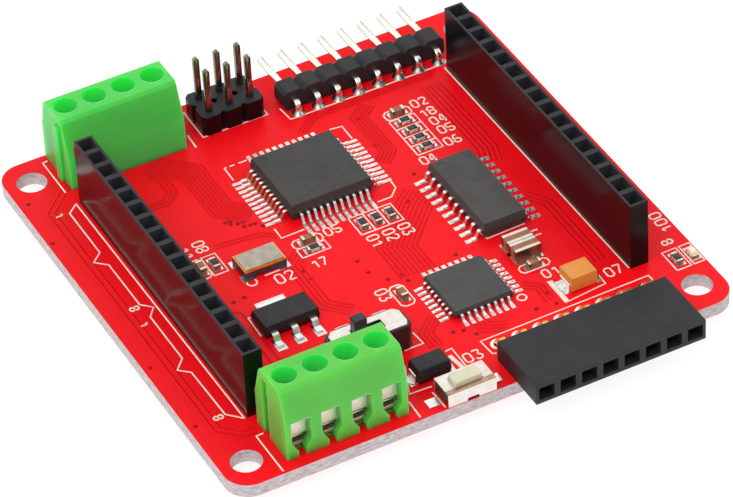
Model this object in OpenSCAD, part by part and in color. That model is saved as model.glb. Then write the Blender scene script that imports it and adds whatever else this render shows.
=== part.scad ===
// Driver board for an 8 x 8 three-colour lamp matrix: a square circuit board with two tall
// socket strips for the matrix, two screw terminals, pin headers, driver chips and switches.
// Lengths are in mm. The origin is the centre of the mounting-hole pattern on the underside.

/* [Board] */
// Width of the board along its front edge
board_w = 59.5; // [59.5:0.1:61]
// Depth of the board from its front edge to its back edge
board_d = 59.6; // [59.6:0.1:60]
// Thickness of the board
board_t = 1.6; // [1.6]
// Radius of the board's corners
corner_r = 2.8; // [2:0.1:3.5]
// Distance between mounting holes along the front edge
hole_dx = 53.5; // [53:0.1:53.6]
// Distance between mounting holes from front to back
hole_dy = 52.3; // [52:0.1:52.6]
// Diameter of a mounting hole, for an M3 screw
hole_d = 3.4; // [3.2:0.1:3.6]

/* [Matrix sockets] */
// Distance between the two socket rows
row_gap = 45.72; // [45.72]
// Height of a socket strip above the board
socket_h = 8.5; // [7:0.1:9]

/* [Screw terminals] */
// Distance from one terminal to the next
term_pitch = 3.5; // [3.5]
// Diameter of the well that leads a screwdriver to the screw
well_d = 2.7; // [2.6:0.05:2.8]

/* [Switches] */
// Travel of the slide switch's actuator
slide_travel = 2; // [1.5:0.1:2]
// Height of the slide switch's actuator above its cover
actuator_h = 2; // [1:0.1:3]
// Travel of the reset button
button_travel = 0.25; // [0.15:0.05:0.3]

/* [Headers] */
// Length of the edge header's pins beyond its plastic
edge_pin_reach = 6.4; // [5:0.1:7]
// Length of a soldered tail below the board
tail_h = 1.5; // [1.2:0.1:1.8]

/* [Hidden] */

pitch = 2.54;
top = board_t;
pin = 0.64;
term_w = 4 * term_pitch;
term_h = 8.6;

// Rows and centres of the soldered pieces, seen from above with the front edge towards -Y
socket_n = 16;
socket_len = socket_n * pitch;
socket_w = 2.2;
socket_mid = 0.28;
left_x = socket_mid - row_gap / 2;
right_x = socket_mid + row_gap / 2;
edge_n = 8;
edge_x = 4.05;
edge_header_y = 21.9;
edge_socket_y = -23.6;
prog_x = -5.6;
prog_y = 24.6;
rear_term = [-16.5, 26.12, 180];
front_term = [-16.12, -24.92, 0];
tail_y = 2.08;
screw_y = -0.28;
slide_c = [-8.2, -17.9];
reset_c = [-2.35, -28.15];

// [x, y, turn] of the chip resistors and capacitors; a turn of 0 lies along X
resistor_at = [[13.4, 14.3, 0], [13.4, 12.55, 0], [13.4, 10.85, 0], [13.4, 9.15, 0],
  [1.05, 1, 90], [2.75, 1, 90], [4.45, 1, 90], [-15.7, 3.25, 90], [-5.35, 0.05, 0],
  [27.05, -21.5, 90]];
capacitor_at = [[13.4, 16, 0], [-5.3, 1.55, 0], [-17.35, 3.2, 90], [-0.87, -11.6, 90],
  [13.5, -14.55, 0]];
wide_capacitor_at = [[13.6, -10.85], [13.6, -12.48]];
led_at = [28.95, -21.5];

// ---- helpers ----

// Block from a w by d base to a smaller top, inset by the draft on every side
module tapered(w, d, h, draft) {
  a = w / 2;
  b = d / 2;
  e = a - draft;
  f = b - draft;
  polyhedron(
    points = [[-a, -b, 0], [a, -b, 0], [a, b, 0], [-a, b, 0],
      [-e, -f, h], [e, -f, h], [e, f, h], [-e, f, h]],
    faces = [[0, 1, 2, 3], [4, 7, 6, 5], [0, 4, 5, 1], [1, 5, 6, 2], [2, 6, 7, 3], [3, 7, 4, 0]]);
}

// Moulded chip: two drafted halves on a straight band that the leads leave from
module moulded(w, d, low, band, high, draft) {
  translate([0, 0, low])
    mirror([0, 0, 1]) tapered(w, d, low, draft);
  translate([-w / 2, -d / 2, low]) cube([w, d, band]);
  translate([0, 0, low + band]) tapered(w, d, high, draft);
}

// Bent lead: leaves a body at height rise, drops and runs out to reach on the board
module gull(w, reach, rise, t, foot) {
  knee = (reach - foot) * 0.45;
  rotate([90, 0, 0])
    linear_extrude(w, center = true)
      polygon([[0, rise + t], [knee + t * 0.6, rise + t], [reach - foot + t * 0.4, t],
        [reach, t], [reach, 0], [reach - foot - t * 0.4, 0], [knee - t * 0.2, rise], [0, rise]]);
}

// Row of n bent leads along Y, on the +X side of a body
module lead_row(n, step, face, w, reach, rise, t, foot) {
  for (i = [0 : n - 1])
    translate([face, (i - (n - 1) / 2) * step, 0]) gull(w, reach, rise, t, foot);
}

// Row of places along Y for the matrix sockets
module socket_row(x) {
  for (i = [0 : socket_n - 1])
    translate([x, (socket_n / 2 - 0.5 - i) * pitch, 0]) children();
}

// Row of places along X for the edge header and the edge socket
module edge_row(y) {
  for (i = [0 : edge_n - 1])
    translate([edge_x + i * pitch, y, 0]) children();
}

// Places of the programming header's pins
module prog_grid() {
  for (i = [0 : 2])
    for (j = [0 : 1])
      translate([prog_x + i * pitch, prog_y + j * pitch, 0]) children();
}

// Places of the four ways of a terminal block, in the block's own frame
module term_row() {
  for (i = [0 : 3])
    translate([(i - 1.5) * term_pitch, 0, 0]) children();
}

// Frame of one terminal block on the board
module term_frame(at) {
  translate([at[0], at[1], top])
    rotate([0, 0, at[2]]) children();
}

// Square pin from z0 to z1
module post(w, d, z0, z1) {
  translate([-w / 2, -d / 2, z0]) cube([w, d, z1 - z0]);
}

// Drilled hole through the board
module drill(d) {
  translate([0, 0, -0.5]) cylinder(h = board_t + 1, d = d, $fn = 8);
}

// ---- board ----

module outline() {
  r = corner_r;
  translate([-board_w / 2 + r, -board_d / 2, 0]) cube([board_w - 2 * r, board_d, board_t]);
  translate([-board_w / 2, -board_d / 2 + r, 0]) cube([board_w, board_d - 2 * r, board_t]);
  for (sx = [-1, 1])
    for (sy = [-1, 1])
      translate([sx * (board_w / 2 - r), sy * (board_d / 2 - r), 0])
        cylinder(h = board_t, r = r, $fn = 48);
}

module circuit_board() {
  color([0.86, 0.09, 0.11])
    difference() {
      outline();
      for (sx = [-1, 1])
        for (sy = [-1, 1])
          translate([sx * hole_dx / 2, sy * hole_dy / 2, -0.5])
            cylinder(h = board_t + 1, d = hole_d, $fn = 48);
      socket_row(left_x) drill(1);
      socket_row(right_x) drill(1);
      edge_row(edge_header_y) drill(1);
      edge_row(edge_socket_y) drill(1);
      prog_grid() drill(1);
      for (at = [rear_term, front_term])
        translate([at[0], at[1], 0])
          rotate([0, 0, at[2]])
            term_row() translate([0, tail_y, 0]) drill(1.4);
      for (i = [-1 : 1])
        translate([slide_c[0] + 2 * i, slide_c[1], 0]) drill(0.8);
    }
}

// ---- matrix sockets ----

module socket_housing(x) {
  color([0.16, 0.16, 0.18])
    difference() {
      translate([x - socket_w / 2, -socket_len / 2, top]) cube([socket_w, socket_len, socket_h]);
      socket_row(x) post(1.6, 1.85, top + 0.9, top + socket_h + 1);
      socket_row(x) post(0.5, 0.7, top - 1, top + 1);
    }
}

// Spring contact: two leaves on a bridge, and a flat tail through the board
module socket_contact(leaf) {
  rotate([90, 0, 0])
    linear_extrude(1, center = true)
      polygon([[-0.65, top + 0.9], [0.65, top + 0.9], [0.65, top + 3], [0.35, leaf - 1],
        [0.6, leaf], [0.4, leaf], [0.15, leaf - 1], [0.45, top + 3], [0.45, top + 1.1],
        [-0.45, top + 1.1], [-0.45, top + 3], [-0.15, leaf - 1], [-0.4, leaf], [-0.6, leaf],
        [-0.35, leaf - 1], [-0.65, top + 3]]);
  post(0.4, pin, -tail_h, top + 0.95);
}

module socket_contacts(x) {
  color([0.78, 0.72, 0.5])
    socket_row(x) socket_contact(top + socket_h - 1.2);
}

module left_socket_housing() {
  socket_housing(left_x);
}

module left_socket_contacts() {
  socket_contacts(left_x);
}

module right_socket_housing() {
  socket_housing(right_x);
}

module right_socket_contacts() {
  socket_contacts(right_x);
}

// ---- screw terminals, in a frame where the wires enter from -Y ----

module terminal_block() {
  difference() {
    union() {
      rotate([90, 0, 90])
        linear_extrude(term_w, center = true)
          polygon([[-3.47, 0], [3.47, 0], [3.47, 4.4], [2.2, 8.2], [1.85, term_h],
            [-2.1, term_h], [-2.45, 8.3], [-3.4, 4.7]]);
      translate([term_w / 2 - 0.1, 0.6, 0]) cube([0.45, 1, 7.4]);
    }
    translate([-term_w / 2 - 0.1, 0.5, -0.1]) cube([0.5, 1.2, 7.6]);
    term_row() {
      translate([0, screw_y, 5.3]) cylinder(h = 4, d = well_d, $fn = 32);
      translate([0, screw_y, 4]) cylinder(h = 2, r = 1, $fn = 32);
      translate([-1.43, -2.4, 0.35]) cube([2.86, 4.12, 4.35]);
      translate([0, -2.3, 0])
        rotate([90, 0, 0])
          linear_extrude(2)
            polygon([[-1.125, 4.7], [-1.125, 1.9], [-0.45, 0.85], [-0.45, -0.1],
              [0.45, -0.1], [0.45, 0.85], [1.125, 1.9], [1.125, 4.7]]);
      translate([-0.82, 1.6, -0.1]) cube([1.64, 0.75, 2]);
    }
  }
}

module terminal_tails() {
  term_row() {
    translate([-0.8, -2.1, 1.56]) cube([1.6, 4.38, 0.22]);
    translate([-0.5, tail_y - 0.2, -top - tail_h]) cube([1, 0.4, 1.7 + top + tail_h]);
  }
}

// Captive screw: a slotted head in the well and a threaded shank down into the clamp
module terminal_screw(i) {
  translate([(i - 2.5) * term_pitch, screw_y, 0])
    difference() {
      union() {
        translate([0, 0, 5.32]) cylinder(h = 0.75, r = 1.2, $fn = 32);
        translate([0, 0, 1.84]) cylinder(h = 3.6, r = 0.95, $fn = 32);
      }
      translate([-1.5, -0.2, 5.75]) cube([3, 0.4, 1]);
    }
}

// Rising clamp: a threaded block over a window that the tail passes through
module terminal_clamp(i) {
  translate([(i - 2.5) * term_pitch, screw_y, 0])
    difference() {
      translate([-1.35, -2.02, 0.65]) cube([2.7, 3.8, 3.25]);
      translate([-1.05, -3, 1.05]) cube([2.1, 6, 1]);
      translate([0, 0, 1.9]) cylinder(h = 3, r = 0.99, $fn = 32);
    }
}

module rear_terminal_housing() {
  color([0.32, 0.75, 0.28]) term_frame(rear_term) terminal_block();
}

module rear_terminal_tails() {
  color([0.8, 0.8, 0.78]) term_frame(rear_term) terminal_tails();
}

module rear_screw(i) {
  color([0.72, 0.73, 0.74]) term_frame(rear_term) terminal_screw(i);
}

module rear_clamp(i) {
  color([0.85, 0.83, 0.8]) term_frame(rear_term) terminal_clamp(i);
}

module front_terminal_housing() {
  color([0.32, 0.75, 0.28]) term_frame(front_term) terminal_block();
}

module front_terminal_tails() {
  color([0.8, 0.8, 0.78]) term_frame(front_term) terminal_tails();
}

module front_screw(i) {
  color([0.72, 0.73, 0.74]) term_frame(front_term) terminal_screw(i);
}

module front_clamp(i) {
  color([0.85, 0.83, 0.8]) term_frame(front_term) terminal_clamp(i);
}

// ---- headers ----

// Plan of one header cell: a square with its four corners cut off
module cell() {
  h = pitch / 2;
  c = 0.45;
  polygon([[-h + c, -h], [h - c, -h], [h, -h + c], [h, h - c],
    [h - c, h], [-h + c, h], [-h, h - c], [-h, -h + c]]);
}

module programming_header_housing() {
  color([0.16, 0.16, 0.18])
    difference() {
      translate([0, 0, top])
        linear_extrude(pitch)
          prog_grid() cell();
      prog_grid() post(pin + 0.02, pin + 0.02, 0, top + 5);
    }
}

// Straight pin with a pointed end
module straight_pin(z1) {
  post(pin, pin, -tail_h, z1 - 0.35);
  translate([0, 0, z1 - 0.35])
    rotate([0, 0, 45]) cylinder(h = 0.35, r1 = pin * 0.7071, r2 = pin * 0.35, $fn = 4);
}

module programming_header_pins() {
  color([0.85, 0.8, 0.7])
    prog_grid() straight_pin(9.85);
}

header_front = 22.75;
header_back = header_front + pitch;

module edge_header_housing() {
  color([0.16, 0.16, 0.18])
    difference() {
      translate([0, header_back, top + pitch / 2])
        rotate([90, 0, 0])
          linear_extrude(pitch)
            for (i = [0 : edge_n - 1])
              translate([edge_x + i * pitch, 0]) cell();
      edge_row(0)
        translate([-pin / 2 - 0.01, 20, top + pitch / 2 - pin / 2 - 0.01])
          cube([pin + 0.02, 8, pin + 0.02]);
    }
}

// Bent pin: down through the board at its row, and out over the board's back edge
module edge_header_pins() {
  mid = top + pitch / 2;
  tip = header_back + edge_pin_reach;
  color([0.88, 0.85, 0.8])
    edge_row(0) {
      rotate([90, 0, 90])
        linear_extrude(pin, center = true)
          polygon([[edge_header_y - pin / 2, -tail_h], [edge_header_y + pin / 2, -tail_h],
            [edge_header_y + pin / 2, mid - pin / 2], [tip - 0.35, mid - pin / 2],
            [tip - 0.35, mid + pin / 2], [edge_header_y, mid + pin / 2],
            [edge_header_y - pin / 2, mid]]);
      translate([0, tip - 0.35, mid])
        rotate([-90, 45, 0]) cylinder(h = 0.35, r1 = pin * 0.7071, r2 = pin * 0.35, $fn = 4);
    }
}

socket_face = -33.95;
socket_back = -25.75;

module edge_socket_housing() {
  mid = top + pitch / 2;
  color([0.17, 0.17, 0.19])
    difference() {
      translate([edge_x - pitch / 2, socket_face, top])
        cube([edge_n * pitch, socket_back - socket_face, pitch]);
      edge_row(0) {
        translate([-0.9, socket_face - 1, mid - 0.8]) cube([1.8, 8, 1.6]);
        translate([-0.37, socket_back - 2, mid - 0.35]) cube([0.74, 3, 0.7]);
      }
    }
}

// Spring contact lying on its side, with a tail bent down into the board
module edge_socket_contacts() {
  mid = top + pitch / 2;
  back = socket_back - 1.2;
  color([0.85, 0.72, 0.4])
    edge_row(0) {
      translate([0, 0, mid])
        linear_extrude(1, center = true)
          polygon([[-0.65, back], [-0.65, back - 2], [-0.35, socket_face + 2.2],
            [-0.6, socket_face + 1.2], [-0.4, socket_face + 1.2], [-0.15, socket_face + 2.2],
            [-0.45, back - 2], [-0.45, back - 0.2], [0.45, back - 0.2], [0.45, back - 2],
            [0.15, socket_face + 2.2], [0.4, socket_face + 1.2], [0.6, socket_face + 1.2],
            [0.35, socket_face + 2.2], [0.65, back - 2], [0.65, back]]);
      rotate([90, 0, 90])
        linear_extrude(pin, center = true)
          polygon([[back - 0.1, mid - 0.3], [edge_socket_y - 1.5, mid - 0.3],
            [edge_socket_y - 0.8, mid - 0.5], [edge_socket_y - 0.4, mid - 0.9],
            [edge_socket_y - 0.3, mid - 1.3], [edge_socket_y - 0.3, -tail_h],
            [edge_socket_y + 0.3, -tail_h], [edge_socket_y + 0.3, mid - 1.2],
            [edge_socket_y + 0.05, mid - 0.55], [edge_socket_y - 0.5, mid],
            [edge_socket_y - 1.2, mid + 0.3], [back - 0.1, mid + 0.3]]);
    }
}

// ---- chips ----

driver_c = [-0.35, 10.22];
source_c = [13.7, -1.75];
micro_c = [5.55, -14.48];
regulator_c = [-13.35, -8.85];

module led_driver_body() {
  color([0.27, 0.27, 0.27])
    difference() {
      translate([driver_c[0], driver_c[1], top + 0.12]) moulded(10, 10, 0.8, 0.2, 0.95, 0.2);
      translate([driver_c[0] - 3.9, driver_c[1] + 3.9, top + 2]) cylinder(h = 1, d = 1, $fn = 24);
    }
}

module led_driver_leads() {
  color([0.85, 0.84, 0.82])
    translate([driver_c[0], driver_c[1], top])
      for (a = [0 : 90 : 270])
        rotate([0, 0, a]) lead_row(11, 0.8, 5, 0.3, 1.6, 0.94, 0.15, 0.75);
}

module source_driver_body() {
  color([0.27, 0.26, 0.25])
    difference() {
      translate([source_c[0], source_c[1], top + 0.1]) moulded(5.3, 12.6, 0.75, 0.25, 0.85, 0.2);
      translate([source_c[0] - 1.6, source_c[1] + 5.2, top + 1.88]) cylinder(h = 1, d = 0.9, $fn = 24);
    }
}

module source_driver_leads() {
  color([0.85, 0.84, 0.82])
    translate([source_c[0], source_c[1], top])
      for (a = [0, 180])
        rotate([0, 0, a]) lead_row(10, 1.27, 2.65, 0.42, 1.25, 0.88, 0.16, 0.6);
}

module microcontroller_body() {
  color([0.29, 0.29, 0.29])
    difference() {
      translate([micro_c[0], micro_c[1], top + 0.08]) moulded(7, 7, 0.4, 0.17, 0.4, 0.12);
      translate([micro_c[0] + 2.6, micro_c[1] - 2.6, top + 1]) cylinder(h = 1, d = 0.8, $fn = 24);
    }
}

module microcontroller_leads() {
  color([0.85, 0.84, 0.82])
    translate([micro_c[0], micro_c[1], top])
      for (a = [0 : 90 : 270])
        rotate([0, 0, a]) lead_row(8, 0.8, 3.5, 0.3, 1, 0.49, 0.13, 0.55);
}

module regulator_body() {
  color([0.2, 0.2, 0.2])
    translate([regulator_c[0], regulator_c[1], top + 0.06])
      moulded(6.5, 3.5, 0.65, 0.25, 0.7, 0.15);
}

module regulator_leads() {
  color([0.84, 0.83, 0.8])
    translate([regulator_c[0], regulator_c[1], top]) {
      rotate([0, 0, 90]) translate([1.75, 0, 0]) gull(3, 1.75, 0.72, 0.24, 0.9);
      for (i = [-1 : 1])
        rotate([0, 0, -90]) translate([1.75, i * 2.3, 0]) gull(0.7, 1.75, 0.72, 0.24, 0.8);
    }
}

// ---- two-terminal parts ----

crystal_c = [-11.55, 0.75];

module crystal_base() {
  color([0.22, 0.2, 0.24])
    translate([crystal_c[0], crystal_c[1], top]) {
      post(5, 3.2, 0.12, 0.85);
      for (sx = [-1, 1])
        for (sy = [-1, 1])
          translate([sx * 1.85, sy * 1.1, 0]) post(1.3, 1, 0, 0.12);
    }
}

module crystal_lid() {
  color([0.75, 0.71, 0.66])
    translate([crystal_c[0], crystal_c[1], top + 0.85]) {
      post(4.9, 3.1, 0, 0.14);
      translate([0, 0, 0.14]) tapered(4.6, 2.8, 0.2, 0.06);
    }
}

tantalum_c = [16.25, -19.25];

module tantalum_body() {
  color([0.87, 0.55, 0.22])
    translate([tantalum_c[0], tantalum_c[1], top + 0.13])
      moulded(3.2, 2.7, 0.75, 0.1, 0.95, 0.06);
}

// Strap that folds from a body's end face in under its base
module strap(face, w, h, t, under) {
  rotate([90, 0, 0])
    linear_extrude(w, center = true)
      polygon([[face, h], [face + t, h], [face + t, 0], [face - under, 0], [face - under, t],
        [face, t]]);
}

module tantalum_straps() {
  color([0.86, 0.85, 0.82])
    translate([tantalum_c[0], tantalum_c[1], top]) {
      strap(1.6, 2, 0.98, 0.13, 0.8);
      rotate([0, 0, 180]) strap(1.6, 2, 0.98, 0.13, 0.8);
    }
}

diode_c = [-4.3, -24.05];

module diode_body() {
  color([0.14, 0.14, 0.15])
    translate([diode_c[0], diode_c[1], top + 0.16])
      moulded(4, 2.5, 0.8, 0.2, 0.9, 0.14);
}

module diode_leads() {
  color([0.84, 0.83, 0.8])
    translate([diode_c[0], diode_c[1], top]) {
      strap(2, 1.4, 1.16, 0.16, 0.9);
      rotate([0, 0, 180]) strap(2, 1.4, 1.16, 0.16, 0.9);
      for (s = [-1, 1])
        translate([s * 2.4, 0, 0]) post(0.5, 1.4, 0, 0.16);
    }
}

// Places of a list of chip parts
module chip_places(list) {
  for (p = list)
    translate([p[0], p[1], top])
      rotate([0, 0, p[2]]) children();
}

module chip_resistors() {
  color([0.13, 0.13, 0.14])
    chip_places(resistor_at) post(1.04, 0.8, 0, 0.45);
}

module chip_capacitors() {
  color([0.55, 0.33, 0.2]) {
    chip_places(capacitor_at) post(0.9, 0.8, 0, 0.75);
    for (p = wide_capacitor_at)
      translate([p[0], p[1], top]) post(3.1, 0.7, 0, 1.5);
  }
}

module chip_terminations() {
  color([0.86, 0.85, 0.83]) {
    chip_places(resistor_at)
      for (s = [-1, 1])
        translate([s * 0.66, 0, 0]) post(0.28, 0.8, 0, 0.47);
    chip_places(capacitor_at)
      for (s = [-1, 1])
        translate([s * 0.625, 0, 0]) post(0.35, 0.8, 0, 0.78);
    for (p = wide_capacitor_at)
      for (s = [-1, 1])
        translate([p[0], p[1] + s * 0.575, top]) post(3.1, 0.45, 0, 1.53);
    for (s = [-1, 1])
      translate([led_at[0], led_at[1] + s * 0.65, top]) post(0.8, 0.3, 0, 0.3);
  }
}

module status_led() {
  color([0.95, 0.9, 0.75])
    translate([led_at[0], led_at[1], top]) {
      post(0.8, 1, 0, 0.3);
      translate([0, 0, 0.3]) tapered(0.8, 1, 0.3, 0.05);
    }
}

// ---- slide switch ----

slide_w = 8.4;
slide_d = 3;
slide_base_h = 3.2;
foot_w = 3;
stem_w = 1.5;

module slide_switch_base() {
  a = slide_w / 2 + 0.35;
  b = slide_d / 2 + 0.1;
  c = 0.5;
  color([0.12, 0.12, 0.13])
    translate([slide_c[0], slide_c[1], top])
      difference() {
        linear_extrude(slide_base_h)
          polygon([[-a, -b + c], [-a + c, -b], [a - c, -b], [a, -b + c],
            [a, b - c], [a - c, b], [-a + c, b], [-a, b - c]]);
        post(foot_w + slide_travel + 0.2, 1.85, 1.4, slide_base_h + 1);
        for (i = [-1 : 1])
          translate([2 * i, 0, 0]) post(0.52, 0.32, -1, 2);
      }
}

module slide_switch_cover() {
  a = slide_w / 2;
  b = slide_d / 2;
  c = 0.6;
  color([0.86, 0.84, 0.81])
    translate([slide_c[0], slide_c[1], top])
      difference() {
        union() {
          translate([0, 0, slide_base_h])
            linear_extrude(0.25)
              polygon([[-a, -b], [a - c / 2, -b], [a, -b + c], [a, b - c], [a - c, b], [-a + c, b],
                [-a, b - c]]);
          for (s = [-1, 1])
            translate([s * 2.2, b + 0.175, 0]) post(1.6, 0.15, 1.6, slide_base_h + 0.25);
        }
        post(stem_w + slide_travel + 0.1, 1.36, 0, slide_base_h + 1);
      }
}

module slide_switch_actuator() {
  color([0.13, 0.13, 0.14])
    translate([slide_c[0] - slide_travel / 2, slide_c[1], top]) {
      post(foot_w, 1.75, 1.48, slide_base_h - 0.06);
      post(stem_w, 1.2, slide_base_h - 0.1, slide_base_h + 0.25 + actuator_h);
    }
}

module slide_switch_pins() {
  color([0.84, 0.83, 0.8])
    for (i = [-1 : 1])
      translate([slide_c[0] + 2 * i, slide_c[1], 0]) post(0.5, 0.3, -tail_h, top + 1.4);
}

// ---- reset switch ----

module reset_switch_base() {
  color([0.12, 0.12, 0.13])
    translate([reset_c[0], reset_c[1], top]) {
      post(5.5, 2.86, 0, 0.6);
      for (s = [-1, 1])
        translate([s * 2.5, 0, 0]) post(0.5, 2.86, 0.5, 1.55);
    }
}

module reset_switch_cover() {
  color([0.86, 0.85, 0.82])
    translate([reset_c[0], reset_c[1], top])
      difference() {
        post(5.7, 3.2, 0, 1.72);
        post(6, 2.9, -1, 1.56);
        post(3.3, 1.7, 0, 3);
        translate([0.1, -1.6, 0]) post(1.3, 1, -1, 0.35);
      }
}

module reset_switch_button() {
  color([0.9, 0.9, 0.8])
    translate([reset_c[0], reset_c[1], top]) {
      post(4.3, 2.3, 0.75 + button_travel, 1.5);
      post(3.2, 1.6, 1.45, 2.3);
    }
}

module reset_switch_terminals() {
  color([0.84, 0.83, 0.8])
    translate([reset_c[0], reset_c[1], top]) {
      translate([-3.9, -0.05, 0]) post(1.4, 1.3, 0, 0.15);
      translate([3.45, -0.05, 0]) post(1.2, 1.3, 0, 0.15);
      translate([0, 0, 0.6]) tapered(2.6, 2, 0.14, 0.4);
    }
}

// ---- solder under the board ----

module fillet(r1, r2, w, d) {
  difference() {
    rotate([180, 0, 22.5]) cylinder(h = 0.7, r1 = r1, r2 = r2, $fn = 8);
    post(w, d, -2, 1);
  }
}

module solder_joints() {
  color([0.78, 0.78, 0.77]) {
    for (x = [left_x, right_x])
      socket_row(x) fillet(0.85, 0.5, 0.4, pin);
    edge_row(edge_header_y) fillet(0.85, 0.52, pin, pin);
    edge_row(edge_socket_y) fillet(0.85, 0.52, pin, 0.6);
    prog_grid() fillet(0.85, 0.52, pin, pin);
    for (at = [rear_term, front_term])
      translate([at[0], at[1], 0])
        rotate([0, 0, at[2]])
          term_row() translate([0, tail_y, 0]) fillet(1.15, 0.68, 1, 0.4);
    for (i = [-1 : 1])
      translate([slide_c[0] + 2 * i, slide_c[1], 0]) fillet(0.75, 0.45, 0.5, 0.3);
  }
}

circuit_board();
left_socket_housing();
left_socket_contacts();
right_socket_housing();
right_socket_contacts();
rear_terminal_housing();
rear_terminal_tails();
rear_screw(1);  // rear_screw_1
rear_screw(2);  // rear_screw_2
rear_screw(3);  // rear_screw_3
rear_screw(4);  // rear_screw_4
rear_clamp(1);  // rear_clamp_1
rear_clamp(2);  // rear_clamp_2
rear_clamp(3);  // rear_clamp_3
rear_clamp(4);  // rear_clamp_4
front_terminal_housing();
front_terminal_tails();
front_screw(1);  // front_screw_1
front_screw(2);  // front_screw_2
front_screw(3);  // front_screw_3
front_screw(4);  // front_screw_4
front_clamp(1);  // front_clamp_1
front_clamp(2);  // front_clamp_2
front_clamp(3);  // front_clamp_3
front_clamp(4);  // front_clamp_4
programming_header_housing();
programming_header_pins();
edge_header_housing();
edge_header_pins();
edge_socket_housing();
edge_socket_contacts();
led_driver_body();
led_driver_leads();
source_driver_body();
source_driver_leads();
microcontroller_body();
microcontroller_leads();
regulator_body();
regulator_leads();
crystal_base();
crystal_lid();
tantalum_body();
tantalum_straps();
diode_body();
diode_leads();
slide_switch_base();
slide_switch_cover();
slide_switch_actuator();
slide_switch_pins();
reset_switch_base();
reset_switch_cover();
reset_switch_button();
reset_switch_terminals();
chip_resistors();
chip_capacitors();
chip_terminations();
status_led();
solder_joints();
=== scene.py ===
"""Looks of a lamp-matrix driver board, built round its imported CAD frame.

Every length in a dataclass field is in millimetres, in the board's own frame: X along the front
edge, Y to the back edge, Z up out of the populated side, with z = 0 on the board's underside.
"""

import logging
import math
from dataclasses import dataclass, field, replace
from enum import Enum
from functools import cache
from typing import Any, Callable, Iterable, Sequence

import bmesh
import bpy
from mathutils import Matrix, Vector


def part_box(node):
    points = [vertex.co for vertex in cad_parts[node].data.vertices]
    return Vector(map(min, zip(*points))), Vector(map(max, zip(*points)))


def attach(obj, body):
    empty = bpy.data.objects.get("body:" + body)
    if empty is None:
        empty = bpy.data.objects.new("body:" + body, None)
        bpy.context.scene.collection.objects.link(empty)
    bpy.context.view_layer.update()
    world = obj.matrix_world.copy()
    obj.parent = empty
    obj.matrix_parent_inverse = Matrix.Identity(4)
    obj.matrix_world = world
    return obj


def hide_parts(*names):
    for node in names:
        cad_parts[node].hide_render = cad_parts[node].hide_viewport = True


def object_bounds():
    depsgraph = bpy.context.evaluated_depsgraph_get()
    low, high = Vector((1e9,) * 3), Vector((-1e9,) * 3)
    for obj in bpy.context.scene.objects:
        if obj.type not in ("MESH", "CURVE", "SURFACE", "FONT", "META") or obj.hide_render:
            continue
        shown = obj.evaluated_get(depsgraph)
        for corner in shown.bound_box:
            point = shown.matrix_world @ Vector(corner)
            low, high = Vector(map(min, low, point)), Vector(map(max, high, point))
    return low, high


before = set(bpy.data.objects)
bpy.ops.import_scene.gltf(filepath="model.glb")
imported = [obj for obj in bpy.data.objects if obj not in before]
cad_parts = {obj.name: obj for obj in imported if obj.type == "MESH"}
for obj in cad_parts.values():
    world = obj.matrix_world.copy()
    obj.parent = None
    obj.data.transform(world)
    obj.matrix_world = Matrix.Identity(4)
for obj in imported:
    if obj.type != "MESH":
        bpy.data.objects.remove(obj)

CAD_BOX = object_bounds()
MM = 0.001
BOARD = "board"
SOFT_EDGE = 50.0
LOG = logging.getLogger("driver_board")

Flat = tuple[float, float]
Point = tuple[float, float, float]

# Heights of the board's populated side and of the lowest pin, and the pitch of the pin headers.
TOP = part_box("circuit_board")[1].z / MM
LOWEST = CAD_BOX[0].z / MM
PITCH = 2.54
# Shares of a square pin's size that are left at its foot and at its tip.
PIN_FOOT, PIN_TIP = 0.55, 0.4
# Width of the rounding along a pin's edges.
PIN_EDGE = 0.04
# Lines that may cross lie on this many levels, this far apart.
LEVELS, HAIR = 7, 0.002
# How deep pads of solder reach into the mask, in mm, so that no gap shows under them.
SUNK = 0.02


# ---------------------------------------------------------------- nodes and colours


def linear(code: str) -> tuple[float, float, float, float]:
    """Turns an sRGB hex colour into linear RGBA.

    Args:
        code: the colour as "#rrggbb".

    Returns:
        The linear red, green, blue and an alpha of one.
    """

    def decode(level: float) -> float:
        """Linear value of one sRGB channel."""
        return level / 12.92 if level <= 0.04045 else ((level + 0.055) / 1.055) ** 2.4

    red, green, blue = (decode(int(code[i : i + 2], 16) / 255) for i in (1, 3, 5))
    return red, green, blue, 1.0


def add(
    tree: bpy.types.NodeTree,
    kind: str,
    values: dict[Any, Any] | None = None,
    links: dict[Any, bpy.types.NodeSocket] | None = None,
    **settings: Any,
) -> bpy.types.Node:
    """Adds one node to a tree, with its settings and links.

    Args:
        tree: the shader or geometry tree.
        kind: the node's type name.
        values: constant values for input sockets, by name or index.
        links: output sockets to join to input sockets, by name or index.
        settings: the node's own properties.

    Returns:
        The new node.
    """
    made = tree.nodes.new(kind)
    for name, value in settings.items():
        setattr(made, name, value)
    for name, value in (values or {}).items():
        made.inputs[name].default_value = value
    for name, source in (links or {}).items():
        tree.links.new(source, made.inputs[name])
    return made


def per_mm(size: float) -> float:
    """Texture scale on Object coordinates that gives features of a size in mm."""
    return 1 / (size * MM)


# ---------------------------------------------------------------- finishes


# The part of a noise texture's range that nearly all of its values lie in.
NOISE_LOW, NOISE_HIGH = 0.32, 0.72


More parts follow.
